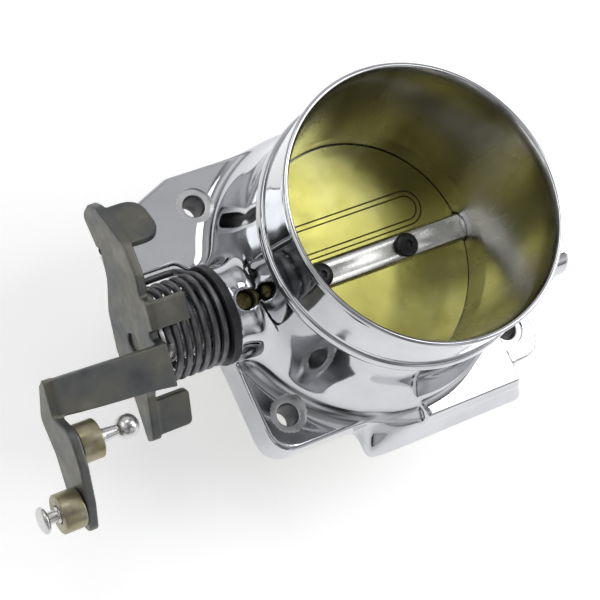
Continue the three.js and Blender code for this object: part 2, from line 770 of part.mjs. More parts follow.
function ballStud() {
  const profile = [
    [0, ARM_X + STUD_SKIN + GAP],
    [STUD_R, ARM_X + STUD_SKIN + GAP],
    [STUD_R, STUD_COLLAR_TO + 0.3],
    [2.1, STUD_COLLAR_TO + 2],
    [1.7, BALL_X - BALL_R * 0.86],
  ];
  for (let k = 0; k <= 10; k++) {
    const a = Math.PI * (0.85 - 0.085 * k);
    profile.push([BALL_R * Math.sin(a), BALL_X + BALL_R * Math.cos(a)]);
  }
  profile.push([0, BALL_X + BALL_R]);
  return leverTurned(profile, STUD_V, STUD_W, 20);
}
add("ball_stud", ballStud(), STEEL);

add(
  "linkage_pin",
  leverTurned(
    [
      [0, PIN_HEAD_X],
      [3.4, PIN_HEAD_X],
      [4.1, PIN_HEAD_X + 0.6],
      [4.1, PIN_HEAD_X + 1.2],
      [3.6, PIN_HEAD_X + 1.7],
      [1.9, PIN_HEAD_X + 1.9],
      [1.9, PIN_COLLAR_FROM - 0.4],
      [STUD_R, PIN_COLLAR_FROM - 0.2],
      [STUD_R, ARM_IN_X + 0.6],
      [2.1, ARM_IN_X + 1],
      [0, ARM_IN_X + 1],
    ],
    PIN_V,
    PIN_W,
    20,
  ),
  STEEL,
);

// ---------- closed-stop screw under the lever's top tab ----------
// Height of the tab's under side above the flange where the screw meets it.
function stopTipZ() {
  const c = Math.cos(LEVER_TILT);
  const s = Math.sin(LEVER_TILT);
  const under = [
    [42.3 - 0.797 * TAB_T, -2.8 - 0.604 * TAB_T],
    [31.6 - 0.797 * TAB_T, 11.6 - 0.604 * TAB_T],
  ].map(([v, w]) => [v * c - w * s, SHAFT_Z + v * s + w * c]);
  const slope = (under[1][1] - under[0][1]) / (under[1][0] - under[0][0]);
  const highSide = STOP_Y + STOP_R;
  return under[0][1] + slope * (highSide - under[0][0]) - 0.2;
}
const STOP_TIP_Z = stopTipZ();
function stopScrew() {
  const profile = [
    [0, 0.6],
    [STOP_R - 0.5, 0.6],
    [STOP_R, 1.1],
    [STOP_R, STOP_TIP_Z - 1],
    [STOP_R - 0.8, STOP_TIP_Z],
    [0, STOP_TIP_Z],
  ];
  const at = shift(STOP_X, STOP_Y, 0);
  const socket = new THREE.CylinderGeometry(1.25, 1.25, 4, 6).applyMatrix4(turnX(Math.PI / 2));
  return placed(turned(profile, 14), at).subtract(placed(socket, chain(at, shift(0, 0, 1))));
}
add("stop_screw", stopScrew(), BLACK_OXIDE);

function stopNut() {
  const across = 4.6;
  const hex = new THREE.CylinderGeometry(across, across, 4, 6).applyMatrix4(turnX(Math.PI / 2));
  const at = shift(STOP_X, STOP_Y, FLANGE_T + GAP + 2);
  const hole = turned(rod(STOP_R + GAP, -3, 3), 12);
  return placed(hex, at).subtract(placed(hole, at));
}
add("stop_screw_nut", stopNut(), YELLOW_ZINC);

export default group;
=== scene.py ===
"""Throttle body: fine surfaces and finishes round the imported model.

Shapes are worked out in millimetres in the part's own frame and scaled to metres as they are made.
Z is the bore axis and points out of the inlet, X is the throttle shaft, with the lever on -X.
"""

import json
import math

import bmesh
import bpy
import numpy as np
from mathutils import Matrix, Vector


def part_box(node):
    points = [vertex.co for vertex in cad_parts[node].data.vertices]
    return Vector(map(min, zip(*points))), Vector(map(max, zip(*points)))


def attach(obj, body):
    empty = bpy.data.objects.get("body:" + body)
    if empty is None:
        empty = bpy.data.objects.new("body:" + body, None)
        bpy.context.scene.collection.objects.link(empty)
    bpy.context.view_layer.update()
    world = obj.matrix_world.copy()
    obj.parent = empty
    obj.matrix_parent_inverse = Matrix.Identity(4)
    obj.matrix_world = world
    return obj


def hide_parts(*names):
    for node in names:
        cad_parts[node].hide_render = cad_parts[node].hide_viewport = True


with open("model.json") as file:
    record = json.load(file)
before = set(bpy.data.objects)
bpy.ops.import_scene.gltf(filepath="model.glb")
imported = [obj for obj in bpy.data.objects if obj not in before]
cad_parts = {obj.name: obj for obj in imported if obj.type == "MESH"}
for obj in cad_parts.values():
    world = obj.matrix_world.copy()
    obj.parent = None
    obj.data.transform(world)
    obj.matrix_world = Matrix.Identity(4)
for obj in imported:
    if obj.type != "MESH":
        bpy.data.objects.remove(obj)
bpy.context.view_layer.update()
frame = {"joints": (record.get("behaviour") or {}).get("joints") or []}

MM = 0.001
HOUSING_LO, HOUSING_HI = (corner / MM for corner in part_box("throttle_housing"))
LEVER_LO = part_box("throttle_lever")[0] / MM

# ---------- sizes, in millimetres ----------
GAP = 0.3
SHAFT_Z = frame["joints"][0]["pos_m"][2] / MM
SHAFT_R = 4.76
BORE_R = 38.3
TUBE_R = 43.9
RIM_Z = HOUSING_HI.z
RIM_R = 44.45
RIM_LIP = 1.6
BORE_STRAIGHT = 30  # the bore is a plain cylinder up to here and then widens to the mouth
BEAD_Z = 50.5
BEAD_R = 45.2
BEAD_HALF = 2.2
FLARE_STEP = 5.7
FLARE_TOP = 36.0
SEAM_Z = 40.0  # the blended body ends and the turned inlet tube starts here
FLANGE_T = 12.7
FLANGE_HALF_X = 51.0
FLANGE_HALF_Y = 47.3
FLANGE_CORNER = 9
BOLT_X, BOLT_Y, BOLT_R = 41.7, 36.0, 3.6
SPOT_R, SPOT_DEPTH = 5.9, 0.8
BLOCK_X0, BLOCK_X1 = -18.5, 43.5
RAISED_X0, RAISED_X1 = 0.5, 37.5
BOSS_R = 14.5
BOSS_X = -52.0
BOSS_INNER = 30
PAD_X = HOUSING_HI.x
PAD_HALF_Y, PAD_HALF_Z = 27.5, 15.0
PAD_CORNER = 8
RECESS_DEPTH, RECESS_R = 3, 11
PAD_SCREW_Y, PAD_SCREW_R, PAD_SCREW_DEPTH = 20.5, 1.9, 9
LOBE_X = HOUSING_LO.x
SEAL_R = SHAFT_R + 2.84
SEAL_T, BEARING_T = 2.2, 7
CLIP_X, CLIP_T = PAD_X - 2.4, 1
CLIP_GROOVE_R = SHAFT_R - 0.9
JOURNAL_R = SHAFT_R - 1.06
JOURNAL_FLAT = 0.9
SPRING_R, WIRE_R, SPRING_TURNS = 14.0, 1.15, 6.25
BLADE_TILT = math.radians(7.2)
BLADE_T = 1.6
BAND_X0, BAND_X1, BAND_Y0, BAND_Y1 = -25, 28, 5.6, 17.4
BAND_INSET, BAND_LINE, BAND_DEPTH = 1.7, 0.5, 0.3
SHAFT_FLAT = 3.05
SCREW_X, SCREW_R, SCREW_HEAD_R = 16.1, 1.5, 3.9
SCREW_HOLE_R = 1.8
LEVER_TILT = math.radians(25)
LEVER_X = -80.8
LEVER_T = 3.0
TAB_W, TAB_T = 18.3, 2.6
ARM_X = LEVER_LO.x
STUD_V, STUD_W = -17.0, 21.0
PIN_V, PIN_W = -34.5, 20.5
STUD_R, STUD_NECK_R = 2.5, 1.75
STUD_FLOOR = 0.8  # what is left of the arm under the ball stud
STUD_COLLAR_R, STUD_COLLAR_T = 6, 6.8
BALL_X, BALL_R = -97.4, 3.7
PIN_HEAD_X, PIN_HEAD_R, PIN_NECK_R = -129.58, 4.1, 1.9
STOP_X, STOP_Y, STOP_R = -70.3, 34.3, 2.5
THREAD_PITCH, THREAD_DEPTH = 0.9, 0.28
NUT_R = 4.6
LOCK_X, LOCK_TILT = -47.6, 0.12
LOCK_R, LOCK_HOLE_R = 2.8, 3.1

LEVER_IN_X = LEVER_X + LEVER_T
ARM_IN_X = ARM_X + LEVER_T

TO_SHAFT = Matrix.Translation((0, 0, SHAFT_Z))
ON_BLADE = TO_SHAFT @ Matrix.Rotation(BLADE_TILT, 4, "X")
ON_LEVER = TO_SHAFT @ Matrix.Rotation(LEVER_TILT, 4, "X")
Z_TO_X = Matrix.Rotation(math.pi / 2, 4, "Y")


# ---------- distance functions ----------
def smooth_min(a, b, k):
    h = np.maximum(k - np.abs(a - b), 0) / k
    return np.minimum(a, b) - h * h * h * k / 6


def smooth_max(a, b, k):
    return -smooth_min(-a, -b, k)


def cut(body, tool, k):
    return smooth_max(body, -tool, k)


def box3(x, y, z, lo, hi, edge):
    """A box with rounded edges between two corners."""
    parts = []
    for value, low, high in zip((x, y, z), lo, hi):
        parts.append(np.abs(value - (low + high) / 2) - (high - low) / 2 + edge)
    outside = sum(np.maximum(p, 0) ** 2 for p in parts)
    inside = np.minimum(np.maximum(np.maximum(parts[0], parts[1]), parts[2]), 0)
    return np.sqrt(outside) + inside - edge


def polygon(x, y, points):
    """Signed distance to a closed outline."""
    nearest = np.inf
    sign = 1.0
    count = len(points)
    for i in range(count):
        ax, ay = points[i]
        bx, by = points[i - 1]
        ex, ey = bx - ax, by - ay
        wx, wy = x - ax, y - ay
        t = np.clip((wx * ex + wy * ey) / (ex * ex + ey * ey), 0, 1)
        nearest = np.minimum(nearest, (wx - ex * t) ** 2 + (wy - ey * t) ** 2)
        above = (y >= ay) & (y < by)
        below = (y < ay) & (y >= by)
        side = ex * wy - ey * wx
        crossed = (above & (side > 0)) | (below & (side < 0))
        sign = sign * np.where(crossed, -1.0, 1.0)
    return sign * np.sqrt(nearest)


def slab(flat, height, low, high, edge):
    """An outline's distance made a plate from low to high, with rounded edges."""
    a = flat + edge
    b = np.abs(height - (low + high) / 2) - (high - low) / 2 + edge
    outside = np.sqrt(np.maximum(a, 0) ** 2 + np.maximum(b, 0) ** 2)
    return outside + np.minimum(np.maximum(a, b), 0) - edge


def rod_x(y, z, x, radius, low, high):
    return slab(np.sqrt(y * y + z * z) - radius, x, low, high, 0.5)


def convex(x, y, z, points, edge):
    """The solid that is spanned by a few corners, with its edges softened."""
    mesh = bmesh.new()
    for p in points:
        mesh.verts.new(p)
    bmesh.ops.convex_hull(mesh, input=mesh.verts)
    centre = sum((Vector(p) for p in points), Vector()) / len(points)
    planes = []
    for face in mesh.faces:
        normal = face.normal.copy()
        offset = normal.dot(face.verts[0].co)
        if normal.dot(centre) > offset:
            normal, offset = -normal, -offset
        if not any((normal - n).length < 1e-3 and abs(offset - o) < 1e-2 for n, o in planes):
            planes.append((normal, offset))
    mesh.free()
    made = None
    for normal, offset in planes:
        side = x * normal.x + y * normal.y + z * normal.z - offset
        made = side if made is None else smooth_max(made, side, edge)
    return made


def bend(before, here, after, reach, steps):
    """Points of the curve that takes the place of one corner."""
    here = Vector(here)
    start = here + (Vector(before) - here).normalized() * reach
    end = here + (Vector(after) - here).normalized() * reach
    points = []
    for k in range(steps + 1):
        t = k / steps
        points.append(start.lerp(here, t).lerp(here.lerp(end, t), t))
    return points


def rounded(corners, steps=6):
    """Outline corners (x, y, radius) with their corners turned into curves."""
    out = []
    count = len(corners)
    for i, (x, y, radius) in enumerate(corners):
        if not radius:
            out.append((x, y))
            continue
        here = Vector((x, y))
        before, after = corners[i - 1][:2], corners[(i + 1) % count][:2]
        to = (Vector(before) - here).normalized()
        away = (Vector(after) - here).normalized()
        half = math.acos(max(-1, min(1, to.dot(away)))) / 2
        curve = bend(before, here, after, radius / math.tan(half), steps)
        out += [(p.x, p.y) for p in curve]
    return out


def hexagon(radius):
    angles = [k * math.pi / 3 for k in range(6)]
    return [(radius * math.cos(a), radius * math.sin(a)) for a in angles]


# ---------- meshes ----------
def to_scene(name, data):
    obj = bpy.data.objects.new(name, data)
    bpy.context.scene.collection.objects.link(obj)
    return obj


def add_object(name, vertices, faces, matrix=None):
    """Vertices are in millimetres, and matrix places them in the part's frame."""
    mesh = bpy.data.meshes.new(name)
    mesh.from_pydata([tuple(v) for v in vertices], [], [tuple(f) for f in faces])
    if matrix is not None:
        mesh.transform(matrix)
    mesh.transform(Matrix.Scale(MM, 4))
    return to_scene(name, mesh)


def surface(name, distance, low, high, step, matrix=None):
    """Meshes the zero surface of distance(x, y, z) and pulls its vertices onto it."""
    axes = [np.arange(a, b + step, step) for a, b in zip(low, high)]
    gx = axes[0][:, None, None]
    gy = axes[1][None, :, None]
    gz = axes[2][None, None, :]
    values = np.asarray(distance(gx, gy, gz), np.float32)
    values = np.broadcast_to(values, tuple(len(a) for a in axes)).copy()
    values[values == 0] = 1e-6  # a value of exactly 0 would belong to neither side
    cells = tuple(n - 1 for n in values.shape)
    total = np.zeros(cells + (3,), np.float32)
    hits = np.zeros(cells, np.float32)
    edges = []
    for axis in range(3):
        first = np.take(values, range(values.shape[axis] - 1), axis)
        second = np.take(values, range(1, values.shape[axis]), axis)
        crossed = (first < 0) != (second < 0)
        index = np.argwhere(crossed)
        a = first[crossed]
        share = a / (a - second[crossed])
        place = index.astype(np.float32)
        place[:, axis] += share
        others = [k for k in range(3) if k != axis]
        for da in (0, 1):
            for db in (0, 1):
                cell = index.copy()
                cell[:, others[0]] -= da
                cell[:, others[1]] -= db
                fits = np.all((cell >= 0) & (cell < np.array(cells)), axis=1)
                c = cell[fits]
                np.add.at(total, (c[:, 0], c[:, 1], c[:, 2]), place[fits])
                np.add.at(hits, (c[:, 0], c[:, 1], c[:, 2]), 1)
        edges.append((index, a < 0, others))
    used = hits > 0
    number = np.full(cells, -1, np.int64)
    number[used] = np.arange(int(used.sum()))
    points = (total[used] / hits[used][:, None]).astype(np.float64) * step + np.array(low)
    quads = []
    for axis, (index, inward, others) in enumerate(edges):
        p, q = others
        keep = (index[:, p] > 0) & (index[:, q] > 0)
        keep &= (index[:, p] < cells[p]) & (index[:, q] < cells[q])
        at, facing = index[keep], inward[keep]
        ring = []
        for dp, dq in ((1, 1), (0, 1), (0, 0), (1, 0)):
            cell = at.copy()
            cell[:, p] -= dp
            cell[:, q] -= dq
            ring.append(number[cell[:, 0], cell[:, 1], cell[:, 2]])
        quad = np.stack(ring, 1)
        turn = facing if axis != 1 else ~facing
        quad[~turn] = quad[~turn][:, ::-1]
        quads.append(quad)
    nudge = 0.02
    for _ in range(4):
        x, y, z = points.T
        here = distance(x, y, z)
        slope = np.stack(
            [
                distance(x + nudge, y, z) - distance(x - nudge, y, z),
                distance(x, y + nudge, z) - distance(x, y - nudge, z),
                distance(x, y, z + nudge) - distance(x, y, z - nudge),
            ],
            1,
        ) / (2 * nudge)
        size = np.maximum((slope**2).sum(1), 0.25)
        move = -slope * (here / size)[:, None]
        length = np.linalg.norm(move, axis=1, keepdims=True)
        points += move * np.minimum(1, 0.35 * step / np.maximum(length, 1e-9))
    return add_object(name, points, np.concatenate(quads), matrix)


def lathe(name, profile, matrix=None, sides=128):
    """A closed [radius, height] profile turned about Z. Radius 0 makes a pole."""
    vertices, rows = [], []
    for radius, height in profile:
        if radius < 1e-6:
            rows.append([len(vertices)] * sides)
            vertices.append((0, 0, height))
            continue
        rows.append(list(range(len(vertices), len(vertices) + sides)))
        for k in range(sides):
            a = 2 * math.pi * k / sides
            vertices.append((radius * math.cos(a), radius * math.sin(a), height))
    faces = []
    for i in range(len(rows)):
        a, b = rows[i], rows[(i + 1) % len(rows)]
        for k in range(sides):
            n = (k + 1) % sides
            loop = []
            for v in (a[k], a[n], b[n], b[k]):
                if v not in loop:
                    loop.append(v)
            if len(loop) > 2:
                faces.append(loop)
    obj = add_object(name, vertices, faces, matrix)
    face_out(obj)
    return obj


def face_out(obj):
    work = bmesh.new()
    work.from_mesh(obj.data)
    bmesh.ops.recalc_face_normals(work, faces=work.faces)
    work.to_mesh(obj.data)
    work.free()


def soften(profile, radius, steps=4):
    """A closed profile with each corner rounded, apart from those on the axis."""
    out = []
    count = len(profile)
    for i, (r, h) in enumerate(profile):
        if r < 1e-6:
            out.append((r, h))
            continue
        before, after = profile[i - 1], profile[(i + 1) % count]
        limit = 0.45 * min(math.dist(before, (r, h)), math.dist(after, (r, h)))
        curve = bend(before, (r, h), after, min(radius, limit) * 0.9, steps)
        out += [(max(p.x, 0), p.y) for p in curve]
    return out


def on_shaft(name, profile, edge=0.25, sides=128):
    return lathe(name, soften(profile, edge), TO_SHAFT @ Z_TO_X, sides)


def ring(inner, outer, low, high):
    return [(inner, low), (outer, low), (outer, high), (inner, high)]


def rod(radius, low, high):
    return [(0, low), (radius, low), (radius, high), (0, high)]


def prism(name, outline, low, high, matrix):
    """An outline extruded along Z."""
    count = len(outline)
    vertices = [(x, y, low) for x, y in outline] + [(x, y, high) for x, y in outline]
    faces = [list(range(count)), list(range(count, 2 * count))]
    for i in range(count):
        n = (i + 1) % count
        faces.append([i, n, n + count, i + count])
    obj = add_object(name, vertices, faces, matrix)
    face_out(obj)
    return obj


def carve(obj, *tools):
    """Takes the tools away from the object and removes them."""
    for tool in tools:
        change = obj.modifiers.new("cut", "BOOLEAN")
        change.operation = "DIFFERENCE"
        change.solver = "EXACT"
        change.object = tool
        apply_modifiers(obj)
        bpy.data.objects.remove(tool)


def evaluated_mesh(obj):
    graph = bpy.context.evaluated_depsgraph_get()
    graph.update()
    return bpy.data.meshes.new_from_object(obj.evaluated_get(graph))


def apply_modifiers(obj):
    made = evaluated_mesh(obj)
    obj.modifiers.clear()
    obj.data = made


def bevel(obj, width):
    change = obj.modifiers.new("edge", "BEVEL")
    change.width = width * MM
    change.segments = 2
    change.limit_method = "ANGLE"
    change.angle_limit = math.radians(35)
    apply_modifiers(obj)


def smooth(obj, angle=40):
    for face in obj.data.polygons:
        face.use_smooth = True
    obj.data.set_sharp_from_angle(angle=math.radians(angle))


def place(obj, body, node, slot, material, angle=40):
    """Gives a piece its finish and its body, and hides the CAD node that it stands for."""
    obj.data.materials.clear()
    obj.data.materials.append(material)
    smooth(obj, angle)
    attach(obj, body)
    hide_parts(node)
    return obj


# ---------- materials ----------
def fill_ramp(node, stops):
    colours = node.color_ramp.elements
    while len(colours) < len(stops):
        colours.new(0.5)
    for element, (at, colour) in zip(colours, stops):
        element.position = at
        element.color = (*colour, 1)


class Nodes:
    """A small helper that builds one node material."""

    def __init__(self, name):
        self.material = bpy.data.materials.new(name)
        self.material.use_nodes = True
        self.tree = self.material.node_tree
        self.shader = self.tree.nodes["Principled BSDF"]
        self.place = self.add("ShaderNodeTexCoord").outputs["Object"]

    def add(self, kind):
        return self.tree.nodes.new(kind)

    def link(self, out, into):
        self.tree.links.new(out, into)

    def noise(self, scale, detail=4, stretch=(1, 1, 1)):
        mapping = self.add("ShaderNodeMapping")
        mapping.inputs["Scale"].default_value = stretch
        self.link(self.place, mapping.inputs["Vector"])
        node = self.add("ShaderNodeTexNoise")
        node.inputs["Scale"].default_value = scale
        node.inputs["Detail"].default_value = detail
        self.link(mapping.outputs["Vector"], node.inputs["Vector"])
        return node.outputs["Fac"]

    def ramp(self, value, *stops):
        node = self.add("ShaderNodeValToRGB")
        fill_ramp(node, stops)
        self.link(value, node.inputs["Fac"])
        return node.outputs["Color"]

    def span(self, value, low, high):
        """The middle of a noise, where nearly all of it lies, spread from low to high."""
        node = self.add("ShaderNodeMapRange")
        node.inputs["From Min"].default_value = 0.3
        node.inputs["From Max"].default_value = 0.7
        node.inputs["To Min"].default_value = low
        node.inputs["To Max"].default_value = high
        self.link(value, node.inputs["Value"])
        return node.outputs["Result"]

    def colour(self, value, *stops):
        self.link(self.ramp(value, *stops), self.shader.inputs["Base Color"])

    def rough(self, value, low, high):
        self.link(self.span(value, low, high), self.shader.inputs["Roughness"])

    def bump(self, value, strength, distance):
        node = self.add("ShaderNodeBump")
        node.inputs["Strength"].default_value = strength
        node.inputs["Distance"].default_value = distance * MM
        self.link(value, node.inputs["Height"])
        self.link(node.outputs["Normal"], self.shader.inputs["Normal"])

    def metal(self, amount=1.0):
        self.shader.inputs["Metallic"].default_value = amount


def polished_aluminium():
    """Hand-polished casting: nearly a mirror, with a faint haze and slow waves."""
    n = Nodes("polished_aluminium")
    n.metal()
    haze = n.noise(60)
    n.colour(haze, (0.3, (0.53, 0.54, 0.56)), (0.7, (0.62, 0.63, 0.65)))
    n.rough(n.noise(140, 6), 0.035, 0.09)
    n.bump(n.noise(45, 2), 0.25, 0.35)
    return n.material


def turned_bore():
    """Satin turned wall: fine rings round the bore, with stains drawn out along it."""
    n = Nodes("turned_bore")
    n.metal()
    stain = n.noise(70, 3, (1, 1, 0.22))
    stops = (
        (0.30, (0.34, 0.325, 0.25)),
        (0.48, (0.50, 0.49, 0.44)),
        (0.62, (0.56, 0.56, 0.53)),
        (0.74, (0.70, 0.69, 0.62)),
    )
    n.colour(stain, *stops)
    n.rough(n.noise(60, 3, (1, 1, 0.3)), 0.20, 0.32)
    n.bump(n.noise(25, 2, (1, 1, 60)), 0.12, 0.05)
    return n.material


def machined_face():
    """Spot faces, shaft bore and the back of the flange, as the cutter left them."""
    n = Nodes("machined_face")
    n.metal()
    n.colour(n.noise(90), (0.3, (0.60, 0.605, 0.61)), (0.7, (0.72, 0.725, 0.73)))
    n.rough(n.noise(220, 5), 0.24, 0.38)
    n.bump(n.noise(900, 3), 0.15, 0.04)
    return n.material


def hole_wall_painted_shade():
    """Hole walls: dull, with the drill's rings, and dark as painted shade for the inside of the
    holes.
    """
    n = Nodes("hole_wall_painted_shade")
    n.metal(0.9)
    n.colour(n.noise(180), (0.3, (0.06, 0.06, 0.064)), (0.7, (0.13, 0.13, 0.135)))
    n.rough(n.noise(260, 4), 0.38, 0.55)
    n.bump(n.noise(60, 3, (1, 1, 20)), 0.3, 0.08)
    return n.material


def engraved_line_and_gap_shade():
    """The floor and walls of the engraved band, darker than the blade's face; on the blade's rim
    it is painted shade for the gap to the bore.
    """
    n = Nodes("engraved_line_and_gap_shade")
    n.metal(0.8)
    n.colour(n.noise(300), (0.3, (0.05, 0.045, 0.01)), (0.7, (0.10, 0.09, 0.025)))
    n.rough(n.noise(420, 3), 0.45, 0.6)
    n.bump(n.noise(1500, 2), 0.2, 0.03)
    return n.material


def blade_gold():
    """Olive gold conversion coating, a little cloudy, with a brushed grain."""
    n = Nodes("blade_gold")
    n.metal(0.95)
    cloud = n.noise(34, 4)
    stops = (
        (0.28, (0.25, 0.23, 0.055)),
        (0.52, (0.36, 0.345, 0.10)),
        (0.75, (0.46, 0.45, 0.185)),
    )
    n.colour(cloud, *stops)
    n.rough(n.noise(160, 6), 0.16, 0.26)
    n.bump(n.noise(1300, 2, (0.15, 1, 1)), 0.16, 0.03)
    return n.material


def ground_steel():
    """Bright ground steel with a fine grain round the axis."""
    n = Nodes("ground_steel")
    n.metal()
    tone = 0.66
    low, high = tone * 0.88, tone * 1.05
    n.colour(n.noise(260, 4), (0.3, (low, low, low * 0.97)), (0.7, (high, high, high * 0.99)))
    n.rough(n.noise(260, 5), 0.2, 0.34)
    n.bump(n.noise(300, 3, (12, 1, 1)), 0.18, 0.03)
    return n.material


def dark_metal(name, low, high, rough_low, rough_high):
    """A metal between two tones, with a fine surface."""
    n = Nodes(name)
    n.metal(0.9)
    n.colour(n.noise(240, 5), (0.3, low), (0.7, high))
    n.rough(n.noise(420, 5), rough_low, rough_high)
    n.bump(n.noise(1500, 3), 0.2, 0.03)
    return n.material


def grey_zinc():
    """Dull passivated zinc: grey patches with a little olive and blue."""
    n = Nodes("grey_zinc_steel")
    n.metal(0.85)
    cloud = n.noise(75, 6)
    stops = (
        (0.25, (0.085, 0.09, 0.098)),
        (0.43, (0.14, 0.145, 0.141)),
        (0.6, (0.18, 0.176, 0.148)),
        (0.78, (0.27, 0.272, 0.264)),
    )
    n.colour(cloud, *stops)
    n.rough(n.noise(260, 6), 0.34, 0.52)
    n.bump(n.noise(700, 4), 0.3, 0.06)
    return n.material


def yellow_zinc():
    """Yellow passivated zinc, worn to a dull olive."""
    n = Nodes("yellow_zinc_steel")
    n.metal(0.92)
    cloud = n.noise(170, 5)
    stops = (
        (0.28, (0.21, 0.18, 0.095)),
        (0.5, (0.31, 0.285, 0.18)),
        (0.74, (0.40, 0.385, 0.30)),
    )
    n.colour(cloud, *stops)
    n.rough(n.noise(380, 5), 0.26, 0.42)
    n.bump(n.noise(900, 3), 0.15, 0.03)
    return n.material


def moulded(name, low, high, rough_low, rough_high):
    """Moulded plastic or rubber with a fine pebble."""
    n = Nodes(name)
    n.colour(n.noise(200, 4), (0.3, low), (0.7, high))
    n.rough(n.noise(300, 4), rough_low, rough_high)
    n.bump(n.noise(1800, 2), 0.25, 0.04)
    return n.material


POLISHED = polished_aluminium()
TURNED = turned_bore()
MACHINED = machined_face()
# dark hole walls: painted shade inside the holes
HOLE_SHADE = hole_wall_painted_shade()
GOLD = blade_gold()
ENGRAVED_AND_GAP_SHADE = engraved_line_and_gap_shade()
STEEL = ground_steel()
BLACK_OXIDE = dark_metal("black_oxide_steel", (0.02, 0.02, 0.022), (0.06, 0.06, 0.065), 0.3, 0.5)
SPRING_STEEL = dark_metal("spring_steel", (0.10, 0.102, 0.11), (0.20, 0.20, 0.205), 0.3, 0.44)
BRONZE = dark_metal("bearing_bronze", (0.36, 0.25, 0.12), (0.52, 0.39, 0.21), 0.3, 0.45)
PLASTIC = moulded("black_plastic", (0.012, 0.012, 0.014), (0.03, 0.03, 0.033), 0.32, 0.46)
RUBBER = moulded("seal_rubber", (0.02, 0.02, 0.02), (0.045, 0.045, 0.045), 0.6, 0.8)
# yellow zinc made dark for the lock screw sunk in its hole: the yellow is its own tint, the
# darkness is painted shade
ZINC_IN_SHADE = dark_metal("zinc_painted_shade", (0.07, 0.058, 0.02), (0.24, 0.2, 0.08), 0.22, 0.36)
GREY_ZINC = grey_zinc()
YELLOW_ZINC = yellow_zinc()


# ---------- housing ----------
def flange_outline():
    x, y = FLANGE_HALF_X, FLANGE_HALF_Y
    return rounded(
        [
            (-x, -y, FLANGE_CORNER),
            (x, -y, FLANGE_CORNER),
            (x, y, FLANGE_CORNER),
            (4 - x, y, 6),
            (-x - 7, STOP_Y + 8.7, 8),
            (LOBE_X, STOP_Y + 1.7, 5),
            (LOBE_X, SPRING_R + 6, 3),
            (-x - 5, SPRING_R + 6, 3),
            (-x, SPRING_R + 1, 2),
        ]
    )


FLANGE_OUTLINE = flange_outline()


def throat_radius(z):
    t = np.clip((z - FLANGE_T) / (FLARE_TOP - FLANGE_T), 0, 1)
    return TUBE_R + FLARE_STEP * (1 - t) ** 2.4


def bore_radius(z):
    mouth = RIM_R - RIM_LIP
    heights = [0, BORE_STRAIGHT, RIM_Z - 6, RIM_Z]
    return np.interp(z, heights, [BORE_R, BORE_R, mouth - 1.5, mouth - 0.4])


def lower_block(x, y, z):
    """The block on the flange's -Y side, and the raised pad on its face."""
    inner, front = -(FLANGE_HALF_Y - 3.3), -(FLANGE_HALF_Y + 6.5)
    back, pad_inner = HOUSING_LO.y, -(FLANGE_HALF_Y - 11.3)
    top = FLANGE_T + 2.6
    block = [
        (BLOCK_X0, inner, 0),
        (BLOCK_X0, back, 0),
        (BLOCK_X1, back, 0),
        (BLOCK_X1, inner, 0),
        (BLOCK_X0 + 0.5, inner, FLANGE_T),
        (BLOCK_X0 + 0.5, -FLANGE_HALF_Y, FLANGE_T),
        (RAISED_X0, front, FLANGE_T),
        (RAISED_X1, front, FLANGE_T),
        (RAISED_X1 + 2, inner, FLANGE_T),
    ]
    pad = [
        (RAISED_X0, pad_inner, 6),
        (RAISED_X0, front, FLANGE_T - 2),
        (RAISED_X1, front, FLANGE_T - 2),
        (RAISED_X1, pad_inner, 6),
        (RAISED_X0 + 0.3, pad_inner, top),
        (RAISED_X0 + 0.3, front + 0.3, top),
        (RAISED_X1 - 0.7, front + 0.3, top),
        (RAISED_X1 - 0.7, pad_inner, top),
    ]
    return smooth_min(convex(x, y, z, block, 3.5), convex(x, y, z, pad, 1.2), 3)


def housing_body(x, y, z):
    """The cast body up to the seam with the inlet tube."""
    around = np.sqrt(x * x + y * y)
    axle = z - SHAFT_Z
    body = slab(polygon(x, y, FLANGE_OUTLINE), z, 0, FLANGE_T, 0.9)
    body = smooth_min(body, lower_block(x, y, z), 2)
    throat = smooth_max(around - throat_radius(z), 0.4 - z, 0.5)
    body = smooth_min(body, throat, 6.5)
    left = rod_x(y, axle, x, BOSS_R, BOSS_X, -BOSS_INNER)
    right = rod_x(y, axle, x, BOSS_R, BOSS_INNER, PAD_X - 4)
    across = np.abs(y) - PAD_HALF_Y + PAD_CORNER
    upright = np.abs(axle) - PAD_HALF_Z + PAD_CORNER
    corner = np.sqrt(np.maximum(across, 0) ** 2 + np.maximum(upright, 0) ** 2)
    face = corner + np.minimum(np.maximum(across, upright), 0) - PAD_CORNER
    pad = slab(face, x, PAD_X - 8, PAD_X, 0.8)
    body = smooth_min(body, left, 8)
    body = smooth_min(body, smooth_min(right, pad, 5), 7)
    # room for the collar and the spring, the flat back, and the side of the CAD box
    clear = np.maximum(x - BOSS_X, np.sqrt(y * y + axle * axle) - (SPRING_R + 3.4))
    body = cut(body, clear, 1.0)
    body = smooth_max(body, -z, 0.5)
    body = smooth_max(body, y - HOUSING_HI.y + 0.02, 0.05)
    body = cut(body, around - bore_radius(z), 0.9)
    return housing_holes(body, x, y, z)


